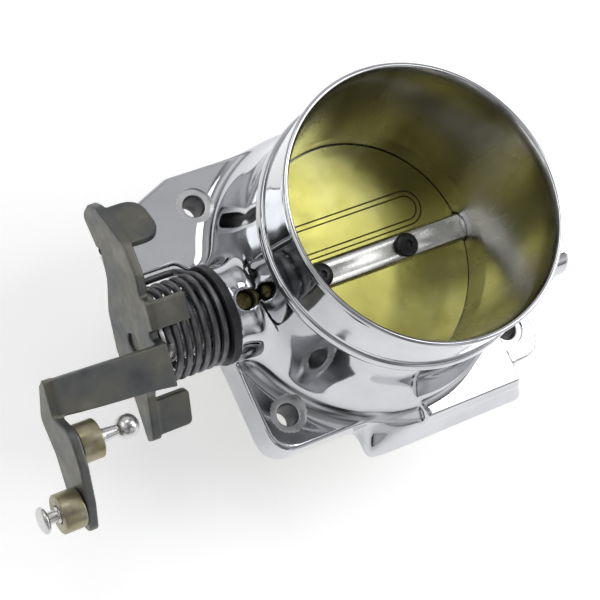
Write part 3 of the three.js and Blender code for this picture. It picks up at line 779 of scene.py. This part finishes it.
def housing_holes(body, x, y, z):
    """The holes in the bosses, the pad and the lobe. The bolt holes are cut later."""
    axle = z - SHAFT_Z
    shaft = np.sqrt(y * y + axle * axle)
    pocket = SEAL_R + GAP
    depth = BEARING_T + SEAL_T + 3 * GAP
    body = cut(body, shaft - SHAFT_R - GAP, 0.4)
    body = cut(body, np.maximum(shaft - pocket, x - BOSS_X - depth), 0.4)
    body = cut(body, np.maximum(shaft - pocket, PAD_X - depth - RECESS_DEPTH - x), 0.4)
    body = cut(body, np.maximum(shaft - RECESS_R, PAD_X - RECESS_DEPTH - x), 0.4)
    stop = np.sqrt((x - STOP_X) ** 2 + (y - STOP_Y) ** 2) - STOP_R - GAP
    body = cut(body, np.maximum(stop, z - FLANGE_T - 1), 0.4)
    out = axle * math.cos(LOCK_TILT) - y * math.sin(LOCK_TILT)
    side = axle * math.sin(LOCK_TILT) + y * math.cos(LOCK_TILT)
    lock = np.sqrt((x - LOCK_X) ** 2 + side**2) - LOCK_HOLE_R
    body = cut(body, np.maximum(lock, BOSS_R - 5 - out), 1.0)
    screw = np.sqrt((np.abs(y) - PAD_SCREW_Y) ** 2 + axle * axle) - PAD_SCREW_R
    return cut(body, np.maximum(screw, PAD_X - PAD_SCREW_DEPTH - x), 0.4)


def half_round(centre, radius, height, steps=10):
    """Points of a bead on the tube wall, from below to above."""
    points = []
    for k in range(steps + 1):
        a = -math.pi / 2 + math.pi * k / steps
        points.append((centre + radius * math.cos(a), height + BEAD_HALF * math.sin(a)))
    return points


def inlet_tube():
    """The turned upper tube, with its hose bead and its rolled rim."""
    mouth = RIM_R - RIM_LIP
    outside = [(TUBE_R, SEAM_Z), (TUBE_R, BEAD_Z - 3.4), (TUBE_R + 0.12, BEAD_Z - 2.6)]
    outside += half_round(TUBE_R + 0.2, BEAD_R - TUBE_R - 0.2, BEAD_Z)
    outside += [(TUBE_R + 0.12, BEAD_Z + 2.6), (TUBE_R, BEAD_Z + 3.4)]
    outside += [(TUBE_R + 0.08, 60), (TUBE_R + 0.3, RIM_Z - 3)]
    rim = [(RIM_R - 0.1, RIM_Z - 1.5), (RIM_R, RIM_Z - 0.9), (RIM_R - 0.12, RIM_Z - 0.35)]
    rim += [(RIM_R - 0.5, RIM_Z - 0.05), (RIM_R - 0.8, RIM_Z), (mouth + 0.35, RIM_Z)]
    rim += [(mouth + 0.05, RIM_Z - 0.3), (mouth - 0.4, RIM_Z - 1.4)]
    levels = np.linspace(RIM_Z - 2.4, SEAM_Z, 14)
    inside = [(float(bore_radius(z)), float(z)) for z in levels]
    return lathe("inlet_tube", outside + rim + inside, None, 256)


def trim_above(obj, height):
    """Cuts the body off at the seam and closes the wall between its inner and outer edge."""
    work = bmesh.new()
    work.from_mesh(obj.data)
    everything = work.verts[:] + work.edges[:] + work.faces[:]
    bmesh.ops.bisect_plane(
        work,
        geom=everything,
        plane_co=(0, 0, height * MM),
        plane_no=(0, 0, 1),
        clear_outer=True,
    )
    rim = [e for e in work.edges if e.is_boundary]
    bmesh.ops.bridge_loops(work, edges=rim)
    work.to_mesh(obj.data)
    work.free()


def join(first, *others):
    with bpy.context.temp_override(
        active_object=first, selected_editable_objects=[first, *others]
    ):
        bpy.ops.object.join()
    return first


def bolt_seat(x, y):
    """The cutter for one bolt hole with its spot face. Rows in a wall split it for its finish."""
    seat = FLANGE_T - SPOT_DEPTH
    profile = [
        (0, -2),
        (BOLT_R, -2),
        (BOLT_R, 0.4),
        (BOLT_R, seat - 0.3),
        (BOLT_R + 0.3, seat),
        (SPOT_R, seat),
        (SPOT_R, seat + SPOT_DEPTH - 0.2),
        (SPOT_R, seat + 3),
        (SPOT_R, seat + 9),
        (0, seat + 9),
    ]
    return lathe("bolt_seat", profile, Matrix.Translation((x, y, 0)), 72)


def paint_housing(obj):
    """Every face is polished, apart from the bore, what a cutter touched and the hole walls, whose
    dark finish is painted shade.
    """
    turned, machined, shaded_wall = 1, 2, 3
    obj.data.materials.clear()
    for material in (POLISHED, TURNED, MACHINED, HOLE_SHADE):
        obj.data.materials.append(material)
    for face in obj.data.polygons:
        x, y, z = face.center / MM
        around = math.hypot(x, y)
        bolt = math.hypot(abs(x) - BOLT_X, abs(y) - BOLT_Y)
        inward = face.normal.x * x + face.normal.y * y < 0
        in_bore = around < float(bore_radius(z)) + 0.25 and inward and z > 0.3
        in_hole = bolt < SPOT_R + 0.1 and z < FLANGE_T + 3
        in_shaft_bore = math.hypot(y, z - SHAFT_Z) < SHAFT_R + 3.3
        back = z < 0.25
        lock = math.hypot(x - LOCK_X, y + (z - SHAFT_Z) * math.sin(LOCK_TILT))
        in_lock = lock < 3.3 and SHAFT_Z < z < SHAFT_Z + BOSS_R - 0.7
        # hole walls, the lock screw's hole among them, get the dark finish: painted shade inside
        # the holes
        if in_lock or (bolt < BOLT_R + 0.6 and 0.6 < z < FLANGE_T - 1.4):
            face.material_index = shaded_wall
        elif in_hole or in_shaft_bore or back:
            face.material_index = machined
        elif in_bore:
            face.material_index = turned


def build_housing():
    low = (LOBE_X - 2, HOUSING_LO.y - 2, -2)
    high = (PAD_X + 2, HOUSING_HI.y + 2, SEAM_Z + 4)
    step = 0.55
    body = surface("housing_fine", housing_body, low, high, step)
    trim_above(body, SEAM_Z)
    face_out(body)
    seats = [bolt_seat(sx * BOLT_X, sy * BOLT_Y) for sx in (-1, 1) for sy in (-1, 1)]
    carve(body, join(*seats))
    body = join(body, inlet_tube())
    place(body, "housing", "throttle_housing", "polished_aluminium", POLISHED, 50)
    paint_housing(body)
    even = body.modifiers.new("even_normals", "WEIGHTED_NORMAL")
    even.keep_sharp = True


# ---------- shaft, blade and screws ----------
def build_shaft():
    shoulder = LEVER_IN_X + 0.4
    tail = PAD_X + 4.5
    profile = [
        (0, LEVER_X + 0.9),
        (JOURNAL_R, LEVER_X + 0.9),
        (JOURNAL_R, shoulder),
        (SHAFT_R, shoulder),
        (SHAFT_R, CLIP_X - GAP),
        (CLIP_GROOVE_R, CLIP_X - GAP),
        (CLIP_GROOVE_R, CLIP_X + CLIP_T + GAP),
        (SHAFT_R, CLIP_X + CLIP_T + GAP),
        (SHAFT_R, PAD_X),
        (SHAFT_R - 1, tail),
        (0, tail),
    ]
    shaft = on_shaft("shaft_fine", profile, 0.25, 96)
    half = BORE_R - 0.2
    slot_half = BLADE_T / 2 + GAP

    def block(name, x0, x1, y0, y1, z0, z1, matrix):
        return prism(name, [(x0, y0), (x1, y0), (x1, y1), (x0, y1)], z0, z1, matrix)

    tools = [
        block("slot", -half, half, -6, 6, -slot_half, slot_half, ON_BLADE),
        block("flat", -half, half, -6, 6, SHAFT_FLAT, 8, ON_BLADE),
    ]
    for side in (-1, 1):
        at = ON_BLADE @ Matrix.Translation((side * SCREW_X, 0, 0))
        tools.append(lathe("hole", rod(SCREW_HOLE_R, -8, 8), at, 32))
        y0, y1 = sorted((side * 1.4, side * 5.4))
        tools.append(block("tongue", PAD_X + 2, PAD_X + 7, y0, y1, -6, 6, ON_BLADE))
        y0, y1 = sorted((side * (JOURNAL_R - JOURNAL_FLAT), side * 7))
        tools.append(block("end_flat", shoulder - 8, shoulder, y0, y1, -6, 6, ON_LEVER))
    carve(shaft, *tools)
    bevel(shaft, 0.15)
    place(shaft, "throttle", "throttle_shaft", "ground_steel", STEEL)
    # the journal and end face inside the lever's hub get the darker grey zinc: painted shade in
    # the hub
    shaft.data.materials.append(GREY_ZINC)
    for face in shaft.data.polygons:
        if face.center.x < (LEVER_IN_X + 0.5) * MM:
            face.material_index = 1


def racetrack(inset, steps=14):
    """The outline of the band, drawn in by inset."""
    radius = (BAND_Y1 - BAND_Y0) / 2 - inset
    middle = (BAND_Y1 + BAND_Y0) / 2
    points = []
    for centre, start in ((BAND_X1 - radius - inset, -90), (BAND_X0 + radius + inset, 90)):
        for k in range(steps + 1):
            a = math.radians(start + 180 * k / steps)
            points.append((centre + radius * math.cos(a), middle + radius * math.sin(a)))
    return points


def groove(inset, top):
    """One engraved line of the plain band, as a closed strip."""
    outer = racetrack(inset)
    inner = racetrack(inset + BAND_LINE)
    count = len(outer)
    vertices = []
    for height in (top - BAND_DEPTH, top + 0.5):
        vertices += [(x, y, height) for x, y in outer]
        vertices += [(x, y, height) for x, y in inner]
    faces = []
    for i in range(count):
        n = (i + 1) % count
        # rows 0 and 1 are the lower outer and inner lines, 2 and 3 the upper ones
        for a, b in ((0, 1), (2, 3), (0, 2), (1, 3)):
            a, b = a * count, b * count
            faces.append([i + a, n + a, n + b, i + b])
    obj = add_object("band_line", vertices, faces, ON_BLADE)
    face_out(obj)
    return obj


def build_blade():
    across = BORE_R - 0.1  # a fine gap to the bore
    along = (across - BLADE_T / 2 * math.sin(BLADE_TILT)) / math.cos(BLADE_TILT)
    stretch = Matrix.Diagonal((across, along, 1, 1))
    edge = 0.12
    half = BLADE_T / 2
    flat = 1 - edge / across
    profile = [(0, -half), (flat, -half), (1, edge - half), (1, half - edge), (flat, half)]
    blade = lathe("blade_fine", profile + [(0, half)], ON_BLADE @ stretch, 192)
    tools = [groove(inset, half) for inset in (0, BAND_INSET)]
    for side in (-1, 1):
        at = ON_BLADE @ Matrix.Translation((side * SCREW_X, 0, 0))
        tools.append(lathe("hole", rod(SCREW_HOLE_R, -3, 3), at, 32))
    carve(blade, *tools)
    place(blade, "throttle", "throttle_plate", "blade_gold", GOLD, 30)
    blade.data.materials.append(ENGRAVED_AND_GAP_SHADE)
    to_blade = ON_BLADE.inverted()
    for face in blade.data.polygons:
        x, y, z = to_blade @ (face.center / MM)
        in_band = BAND_X0 - 1 < x < BAND_X1 + 1 and BAND_Y0 - 1 < y < BAND_Y1 + 1
        # the rim all round gets the dark finish as painted shade for the gap to the bore; the
        # band's floor and walls get it as engraved lines
        rim_gap_shade = math.hypot(x / across, y / along) > 0.9975
        if rim_gap_shade or (in_band and 0 < z < half - 0.05):
            face.material_index = 1


def build_screw(side, node):
    seat = SHAFT_FLAT + GAP
    dome = []
    for k in range(9):
        a = math.radians(90 * k / 8)
        dome.append((SCREW_HEAD_R * math.cos(a), seat + 0.7 + 1.3 * math.sin(a)))
    profile = [(0, -4.2), (SCREW_R, -4.2), (SCREW_R, seat), (SCREW_HEAD_R, seat)] + dome
    profile[-1] = (0, seat + 2)
    at = ON_BLADE @ Matrix.Translation((side * SCREW_X, 0, 0))
    screw = lathe(node + "_fine", profile, at, 64)
    carve(screw, prism("socket", hexagon(1.5), seat + 0.9, seat + 4, at))
    bevel(screw, 0.06)
    place(screw, "throttle", node, "black_oxide_steel", BLACK_OXIDE)


# ---------- collar, washer, sleeve and spring ----------
COLLAR_X = BOSS_X - GAP
COLLAR_T, COLLAR_HUB, COLLAR_LIP = 2.7, 6, 1.5
WASHER_T = 1.3
WASHER_X = LEVER_IN_X + GAP
SLEEVE_X = WASHER_X + WASHER_T + GAP
SLEEVE_R = SHAFT_R + 4.24


def build_spring_seat():
    hub = SPRING_R - WIRE_R - 0.6
    profile = [
        (SLEEVE_R + GAP, COLLAR_X - COLLAR_HUB),
        (hub, COLLAR_X - COLLAR_HUB),
        (hub, COLLAR_X - COLLAR_T),
        (SPRING_R + 2, COLLAR_X - COLLAR_T),
        (SPRING_R + 2, COLLAR_X),
        (SHAFT_R + GAP, COLLAR_X),
        (SHAFT_R + GAP, COLLAR_X - COLLAR_LIP),
        (SLEEVE_R + GAP, COLLAR_X - COLLAR_LIP),
    ]
    collar = on_shaft("spring_collar_fine", profile, 0.5, 160)
    place(collar, "housing", "spring_collar", "black_plastic", PLASTIC)
    washer = ring(SHAFT_R + GAP, SPRING_R + 0.4, WASHER_X, WASHER_X + WASHER_T)
    piece = on_shaft("lever_washer_fine", washer, 0.25, 160)
    place(piece, "throttle", "lever_washer", "ground_steel", STEEL)
    sleeve = ring(SHAFT_R + GAP, SLEEVE_R, SLEEVE_X, COLLAR_X - COLLAR_LIP - GAP)
    piece = on_shaft("spring_sleeve_fine", sleeve, 0.3, 128)
    place(piece, "throttle", "spring_sleeve", "ground_steel", STEEL)


def spring_path():
    """The long leg along the lower edge of the lobe, the coils, then a short end."""
    start = COLLAR_X - COLLAR_T - GAP - WIRE_R
    end = SLEEVE_X + WIRE_R
    leg_y, leg_z = SPRING_R + 4.2, SHAFT_Z - 5.5
    points = [
        (LOBE_X + 0.5, leg_y - 0.4, leg_z),
        (LOBE_X + 6, leg_y - 0.2, leg_z),
        (start - 1.8, leg_y, leg_z + 0.3),
        (start - 0.4, leg_y - 1.2, leg_z + 2.4),
    ]
    first = math.radians(10)
    steps = round(SPRING_TURNS * 32)
    for k in range(steps + 1):
        t = k / steps
        a = first + t * SPRING_TURNS * 2 * math.pi
        x = start + (end - start) * min(1, max(0, (t - 0.03) / 0.94))
        points.append((x, SPRING_R * math.cos(a), SHAFT_Z + SPRING_R * math.sin(a)))
    last = first + SPRING_TURNS * 2 * math.pi
    c, s = math.cos(last), math.sin(last)
    reach = 4
    points.append((end, SPRING_R * c - reach * s, SHAFT_Z + SPRING_R * s + reach * c))
    return points


def build_spring():
    curve = bpy.data.curves.new("return_spring_fine", "CURVE")
    curve.dimensions = "3D"
    curve.bevel_depth = (WIRE_R - 0.01) * MM
    curve.bevel_resolution = 6
    curve.use_fill_caps = True
    curve.resolution_u = 2
    line = curve.splines.new("NURBS")
    points = spring_path()
    line.points.add(len(points) - 1)
    for point, at in zip(line.points, points):
        point.co = (*(c * MM for c in at), 1)
    line.order_u = 4
    line.use_endpoint_u = True
    holder = to_scene("spring_curve", curve)
    spring = to_scene("return_spring_fine", evaluated_mesh(holder))
    bpy.data.objects.remove(holder)
    place(spring, "housing", "return_spring", "spring_steel", SPRING_STEEL)


# ---------- lever ----------
STOP_EDGE = ((42.3, -2.8), (31.6, 11.6))
TANG_EDGE = ((-19.6, -1.6), (-31.4, -5.2))
LEVER_FACE = rounded(
    [
        (*STOP_EDGE[0], 3),
        (43, -8, 3),
        (39.6, -14.4, 3),
        (29.6, -9.8, 0.5),
        (28.8, -7.1, 0.5),
        (19.5, -8.2, 8),
        (9, -14.2, 8),
        (-4, -15.8, 8),
        (-20, -11.6, 6),
        (-33.3, -9.8, 1),
        (-32.2, -5.2, 1),
        (-17.4, -0.8, 4),
        (-11.3, 4, 3),
        (-10.6, TAB_W - 1.2, 0),
        (1.4, TAB_W - 1.2, 0),
        (2.6, TAB_W - 4.5, 1),
        (5, TAB_W - 4.5, 1),
        (6, TAB_W - 1.2, 0),
        (14.6, TAB_W - 1.2, 0),
        (15.6, TAB_W - 4.6, 1),
        (22, TAB_W - 3.6, 4),
        (*STOP_EDGE[1], 3),
    ],
    4,
)
ARM_FACE = rounded(
    [
        (3, TAB_W - 1.4, 1),
        (1.4, 13, 3),
        (-9.8, 6.4, 5),
        (-20.3, 11, 5),
        (-31, 11.8, 4),
        (-41.5, 17.4, 3),
        (-42.6, 22.6, 2.5),
        (-33.5, 26.4, 5),
        (-21.9, 28.6, 5),
        (-11.6, 27.6, 4),
        (-8.2, TAB_W - 1.4, 1),
    ],
    4,
)


def from_edge(v, w, edge):
    """How far a point is along an edge of the lever and out from it, and the edge's length."""
    start, end = (Vector(corner) for corner in edge)
    run = (end - start).normalized()
    along = (v - start.x) * run.x + (w - start.y) * run.y
    out = (w - start.y) * run.x - (v - start.x) * run.y
    return along, out, (end - start).length


def stop_tab(x, v, w):
    """The tab along the slanted edge at the top of the lever, with a rounded end."""
    along, out, length = from_edge(v, w, STOP_EDGE)
    reach = LEVER_X + 13.8
    outline = rounded(
        [
            (1.3, LEVER_X + 0.4, 0),
            (1.0, reach, 6.5),
            (length, reach - 0.3, 6.5),
            (length - 0.4, LEVER_X + 0.4, 0),
        ],
        10,
    )
    return slab(polygon(along, x, outline), out, 0, TAB_T, 0.45)


def stop_tang(x, v, w):
    """The tang at the bottom of the lever."""
    along, out, length = from_edge(v, w, TANG_EDGE)
    foot, reach = LEVER_X + 0.4, LEVER_X + 14.2
    outline = rounded([(0, foot, 0), (0, reach, 2), (length, reach, 2), (length, foot, 0)])
    return slab(polygon(along, x, outline), -out, -TAB_T, 0, 0.45)


def lever_shape(x, v, w):
    body = slab(polygon(v, w, LEVER_FACE), x, LEVER_X, LEVER_IN_X, 0.4)
    low = TAB_W - TAB_T
    tab = box3(x, v, w, (LEVER_X, 6, low), (LEVER_X + 12.6, 14.2, TAB_W), 0.4)
    tab = smooth_max(tab, smooth_max(LEVER_X - x, w - TAB_W, 4), 0.4)
    body = smooth_min(body, tab, 1.2)
    body = smooth_min(body, stop_tab(x, v, w), 1.2)
    body = smooth_min(body, stop_tang(x, v, w), 1.0)
    # the bar from the lever to the arm leans a little along its length
    share = np.clip((LEVER_IN_X - x) / (LEVER_IN_X - ARM_X), 0, 1)
    near = -10.8 + 2.6 * share**2 - 1.3 * (1 - share) ** 6
    far = 1.4 + 1.5 * share
    bar = smooth_max(near - v, v - far, 0.5)
    bar = smooth_max(bar, low - w, 0.7)
    ends = smooth_max(ARM_X - x, w - TAB_W, 5)
    bar = smooth_max(bar, smooth_max(ends, x - LEVER_IN_X, 0.5), 0.7)
    body = smooth_min(body, bar, 1.6)
    arm = slab(polygon(v, w, ARM_FACE), x, ARM_X, ARM_IN_X, 0.55)
    body = smooth_min(body, arm, 1.6)
    body = smooth_max(body, ARM_X + 0.02 - x, 0.05)
    # the hub's slot for the shaft end, and the two stud holes
    flats = np.abs(v) - JOURNAL_R + JOURNAL_FLAT - GAP
    hub = np.maximum(np.sqrt(v * v + w * w) - JOURNAL_R - GAP, flats)
    body = cut(body, np.maximum(hub, np.maximum(x - LEVER_IN_X - 1, LEVER_X - 1 - x)), 0.3)
    stud = np.sqrt((v - STUD_V) ** 2 + (w - STUD_W) ** 2) - STUD_R - GAP
    stud = np.maximum(stud, np.maximum(ARM_X + STUD_FLOOR - x, x - ARM_IN_X - 2))
    body = cut(body, stud, 0.3)
    pin = np.sqrt((v - PIN_V) ** 2 + (w - PIN_W) ** 2) - STUD_R - GAP
    return cut(body, np.maximum(pin, x - ARM_IN_X - 2), 0.3)


def build_lever():
    step = 0.42
    low, high = (ARM_X - 2, -45, -18), (LEVER_X + 17, 45.5, 31)
    lever = surface("lever_fine", lever_shape, low, high, step, ON_LEVER)
    face_out(lever)
    place(lever, "throttle", "throttle_lever", "grey_zinc_steel", GREY_ZINC, 60)


# ---------- studs and their collars ----------
def on_arm(name, profile, v, w, edge):
    at = ON_LEVER @ Matrix.Translation((0, v, w)) @ Z_TO_X
    return lathe(name, soften(profile, edge), at, 96)


def build_studs():
    stud_from = ARM_IN_X + GAP
    stud_to = stud_from + STUD_COLLAR_T
    pin_to = ARM_X - GAP
    pin_from = pin_to - STUD_COLLAR_T
    for node, low, high, v, w in (
        ("ball_stud_collar", stud_from, stud_to, STUD_V, STUD_W),
        ("linkage_pin_collar", pin_from, pin_to, PIN_V, PIN_W),
    ):
        profile = ring(STUD_R + GAP, STUD_COLLAR_R, low, high)
        piece = on_arm(node + "_fine", profile, v, w, 0.5)
        place(piece, "throttle", node, "yellow_zinc_steel", YELLOW_ZINC)
    foot = ARM_X + STUD_FLOOR + GAP
    profile = [(0, foot), (STUD_R, foot), (STUD_R, stud_to + 0.3), (2.1, stud_to + 2)]
    neck = 0.47 * math.pi / 3
    profile.append((STUD_NECK_R, BALL_X - BALL_R * math.cos(neck) - 0.6))
    for k in range(25):
        a = math.pi - neck - (math.pi - neck) * k / 24
        profile.append((BALL_R * math.sin(a), BALL_X + BALL_R * math.cos(a)))
    profile[-1] = (0, BALL_X + BALL_R)
    ball = on_arm("ball_stud_fine", profile, STUD_V, STUD_W, 0.12)
    place(ball, "throttle", "ball_stud", "ground_steel", STEEL, 60)
    profile = [
        (0, PIN_HEAD_X),
        (3.4, PIN_HEAD_X),
        (PIN_HEAD_R, PIN_HEAD_X + 0.6),
        (PIN_HEAD_R, PIN_HEAD_X + 1.2),
        (3.6, PIN_HEAD_X + 1.7),
        (PIN_NECK_R, PIN_HEAD_X + 2.1),
        (PIN_NECK_R, pin_from - 0.5),
        (STUD_R, pin_from - 0.2),
        (STUD_R, ARM_IN_X + 0.6),
        (2.1, ARM_IN_X + 1),
        (0, ARM_IN_X + 1),
    ]
    pin = on_arm("linkage_pin_fine", profile, PIN_V, PIN_W, 0.25)
    place(pin, "throttle", "linkage_pin", "ground_steel", STEEL)


# ---------- small hidden pieces ----------
def build_seals_and_bearings():
    left = BOSS_X + GAP
    right = PAD_X - RECESS_DEPTH - BEARING_T - SEAL_T - 2 * GAP
    rubber, bronze = ("seal_rubber", RUBBER), ("bearing_bronze", BRONZE)
    for node, low, thick, (slot, material) in (
        ("shaft_seal_left", left, SEAL_T, rubber),
        ("shaft_bearing_left", left + SEAL_T + GAP, BEARING_T, bronze),
        ("shaft_bearing_right", right, BEARING_T, bronze),
        ("shaft_seal_right", right + BEARING_T + GAP, SEAL_T, rubber),
    ):
        profile = ring(SHAFT_R + GAP, SEAL_R, low, low + thick)
        piece = on_shaft(node + "_fine", profile, 0.3)
        place(piece, "housing", node, slot, material)


def build_clip():
    profile = ring(CLIP_GROOVE_R + GAP, SHAFT_R + 2.64, CLIP_X, CLIP_X + CLIP_T)
    clip = on_shaft("shaft_clip_fine", profile, 0.15)
    place(clip, "throttle", "shaft_clip", "black_oxide_steel", BLACK_OXIDE)


def build_lock_screw():
    at = TO_SHAFT @ Matrix.Translation((LOCK_X, 0, 0)) @ Matrix.Rotation(LOCK_TILT, 4, "X")
    profile = rod(LOCK_R, BOSS_R - 4.7, BOSS_R - 2.6)
    lock = lathe("lock_screw_fine", soften(profile, 0.5), at, 64)
    slot = [(-2.2, -0.45), (2.2, -0.45), (2.2, 0.45), (-2.2, 0.45)]
    turn = at @ Matrix.Rotation(0.6, 4, "Z")
    carve(lock, prism("slot", slot, BOSS_R - 3.2, BOSS_R, turn))
    # the screw gets the dark zinc: painted shade deep in its hole
    place(lock, "housing", "boss_lock_screw", "yellow_zinc_steel", ZINC_IN_SHADE)


def build_stop_screw():
    at = Matrix.Translation((STOP_X, STOP_Y, 0))
    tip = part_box("stop_screw")[1].z / MM
    profile = [(0, 0.6), (STOP_R - 0.5, 0.6), (STOP_R, 1.1)]
    height = 1.5
    while height + THREAD_PITCH < tip - 1.2:
        profile += [(STOP_R - THREAD_DEPTH, height), (STOP_R, height + THREAD_PITCH / 2)]
        height += THREAD_PITCH
    profile += [(STOP_R, tip - 1), (STOP_R - 0.8, tip), (0, tip)]
    screw = lathe("stop_screw_fine", profile, at, 48)
    carve(screw, prism("socket", hexagon(1.25), -1, 3, at))
    place(screw, "housing", "stop_screw", "black_oxide_steel", BLACK_OXIDE, 25)


def build_stop_nut():
    at = Matrix.Translation((STOP_X, STOP_Y, 0))
    low, high = (c.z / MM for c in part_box("stop_screw_nut"))
    outline = [(y, x) for x, y in hexagon(NUT_R)]
    nut = prism("stop_nut_fine", outline, low, high, at)
    carve(nut, lathe("bore", rod(STOP_R + GAP, low - 2, high + 2), at, 48))
    bevel(nut, 0.3)
    place(nut, "housing", "stop_screw_nut", "yellow_zinc_steel", YELLOW_ZINC)


# ---------- studio ----------
CAMERA_AT = (-0.27958, -0.10254, 0.54547)
CAMERA_RIGHT = (0.8486, -0.4101, 0.3342)
CAMERA_UP = (0.3092, 0.8971, 0.3157)
CAMERA_LENS = 114.6
FLOOR_Z, FLOOR_HALF, FLOOR_GLOW = -40, 4000, 0.34
MIDDLE = (0, 0, 0.03)
# each light's name, place and aim in metres, size and power
LIGHTS = (
    ("key", (0.545, -0.12, 0.515), MIDDLE, (0.5, 0.5), 2.6),
    ("glint", (0.225, 0.004, 0.56), (-0.028, 0.018, 0.018), (0.075, 0.075), 0.075),
    ("fill", (-0.7, 0.3, 0.6), MIDDLE, (0.6, 0.4), 1.2),
    ("top", (-0.1, 0.5, 0.9), MIDDLE, (0.5, 0.35), 1.2),
)
# how bright the room is at each level of its noise
ROOM_STOPS = ((0.36, 0.04), (0.45, 0.26), (0.55, 0.5), (0.66, 0.85))


def build_camera():
    right, up = Vector(CAMERA_RIGHT), Vector(CAMERA_UP)
    back = right.cross(up).normalized()
    up = back.cross(right).normalized()
    data = bpy.data.cameras.new("camera")
    data.sensor_width = 36
    data.lens = CAMERA_LENS
    data.clip_start = 0.02
    camera = to_scene("camera", data)
    turn = Matrix((right.normalized(), up, back)).transposed().to_4x4()
    camera.matrix_world = Matrix.Translation(CAMERA_AT) @ turn
    bpy.context.scene.camera = camera


def softbox(name, place_m, target, size, power):
    data = bpy.data.lights.new(name, "AREA")
    data.shape = "RECTANGLE"
    data.size, data.size_y = size
    data.energy = power
    light = to_scene(name, data)
    light.location = place_m
    aim = Vector(target) - Vector(place_m)
    light.rotation_mode = "QUATERNION"
    light.rotation_quaternion = aim.to_track_quat("-Z", "Y")


def build_floor():
    n = Nodes("floor_paint")
    n.colour(n.noise(3), (0.3, (0.93, 0.93, 0.93)), (0.7, (0.96, 0.96, 0.96)))
    n.rough(n.noise(20), 0.8, 0.95)
    n.shader.inputs["Emission Color"].default_value = (1, 1, 1, 1)
    n.shader.inputs["Emission Strength"].default_value = FLOOR_GLOW
    signs = (-1, -1), (1, -1), (1, 1), (-1, 1)
    corners = [(sx * FLOOR_HALF, sy * FLOOR_HALF, FLOOR_Z) for sx, sy in signs]
    floor = add_object("floor", corners, [(0, 1, 2, 3)])
    floor.data.materials.append(n.material)


def world_patch(tree, direction, toward, inner, outer, below, level):
    """Lays one soft round patch of a single brightness over the sky made so far."""
    facing = tree.nodes.new("ShaderNodeVectorMath")
    facing.operation = "DOT_PRODUCT"
    facing.inputs[1].default_value = Vector(toward).normalized()
    tree.links.new(direction, facing.inputs[0])
    share = tree.nodes.new("ShaderNodeMapRange")
    share.interpolation_type = "SMOOTHSTEP"
    share.inputs["From Min"].default_value = math.cos(math.radians(outer))
    share.inputs["From Max"].default_value = math.cos(math.radians(inner))
    tree.links.new(facing.outputs["Value"], share.inputs["Value"])
    mix = tree.nodes.new("ShaderNodeMix")
    mix.data_type = "RGBA"
    tree.links.new(share.outputs["Result"], mix.inputs["Factor"])
    tree.links.new(below, mix.inputs["A"])
    mix.inputs["B"].default_value = (level, level, level * 1.01, 1)
    return mix.outputs["Result"]


def build_world():
    """A pale room with darker patches, which is what the polish has to reflect."""
    world = bpy.data.worlds.new("studio")
    world.use_nodes = True
    bpy.context.scene.world = world
    tree = world.node_tree
    back = tree.nodes["Background"]
    direction = tree.nodes.new("ShaderNodeTexCoord").outputs["Generated"]
    noise = tree.nodes.new("ShaderNodeTexNoise")
    noise.inputs["Scale"].default_value = 1.7
    noise.inputs["Detail"].default_value = 1.5
    ramp = tree.nodes.new("ShaderNodeValToRGB")
    fill_ramp(ramp, [(at, (level, level, level * 1.02)) for at, level in ROOM_STOPS])
    tree.links.new(direction, noise.inputs["Vector"])
    tree.links.new(noise.outputs["Fac"], ramp.inputs["Fac"])
    sky = ramp.outputs["Color"]
    # an even patch overhead, on the side that the flat faces reflect
    sky = world_patch(tree, direction, (0.43, 0.16, 0.89), 14, 26, sky, 0.62)
    tree.links.new(sky, back.inputs["Color"])
    back.inputs["Strength"].default_value = 1.0


def build_studio():
    build_camera()
    build_floor()
    build_world()
    for light in LIGHTS:
        softbox(*light)
    bpy.context.scene.view_settings.view_transform = "Standard"


build_studio()
build_housing()
build_shaft()
build_blade()
build_screw(-1, "plate_screw_left")
build_screw(1, "plate_screw_right")
build_spring_seat()
build_spring()
build_lever()
build_studs()
build_seals_and_bearings()
build_clip()
build_lock_screw()
build_stop_screw()
build_stop_nut()
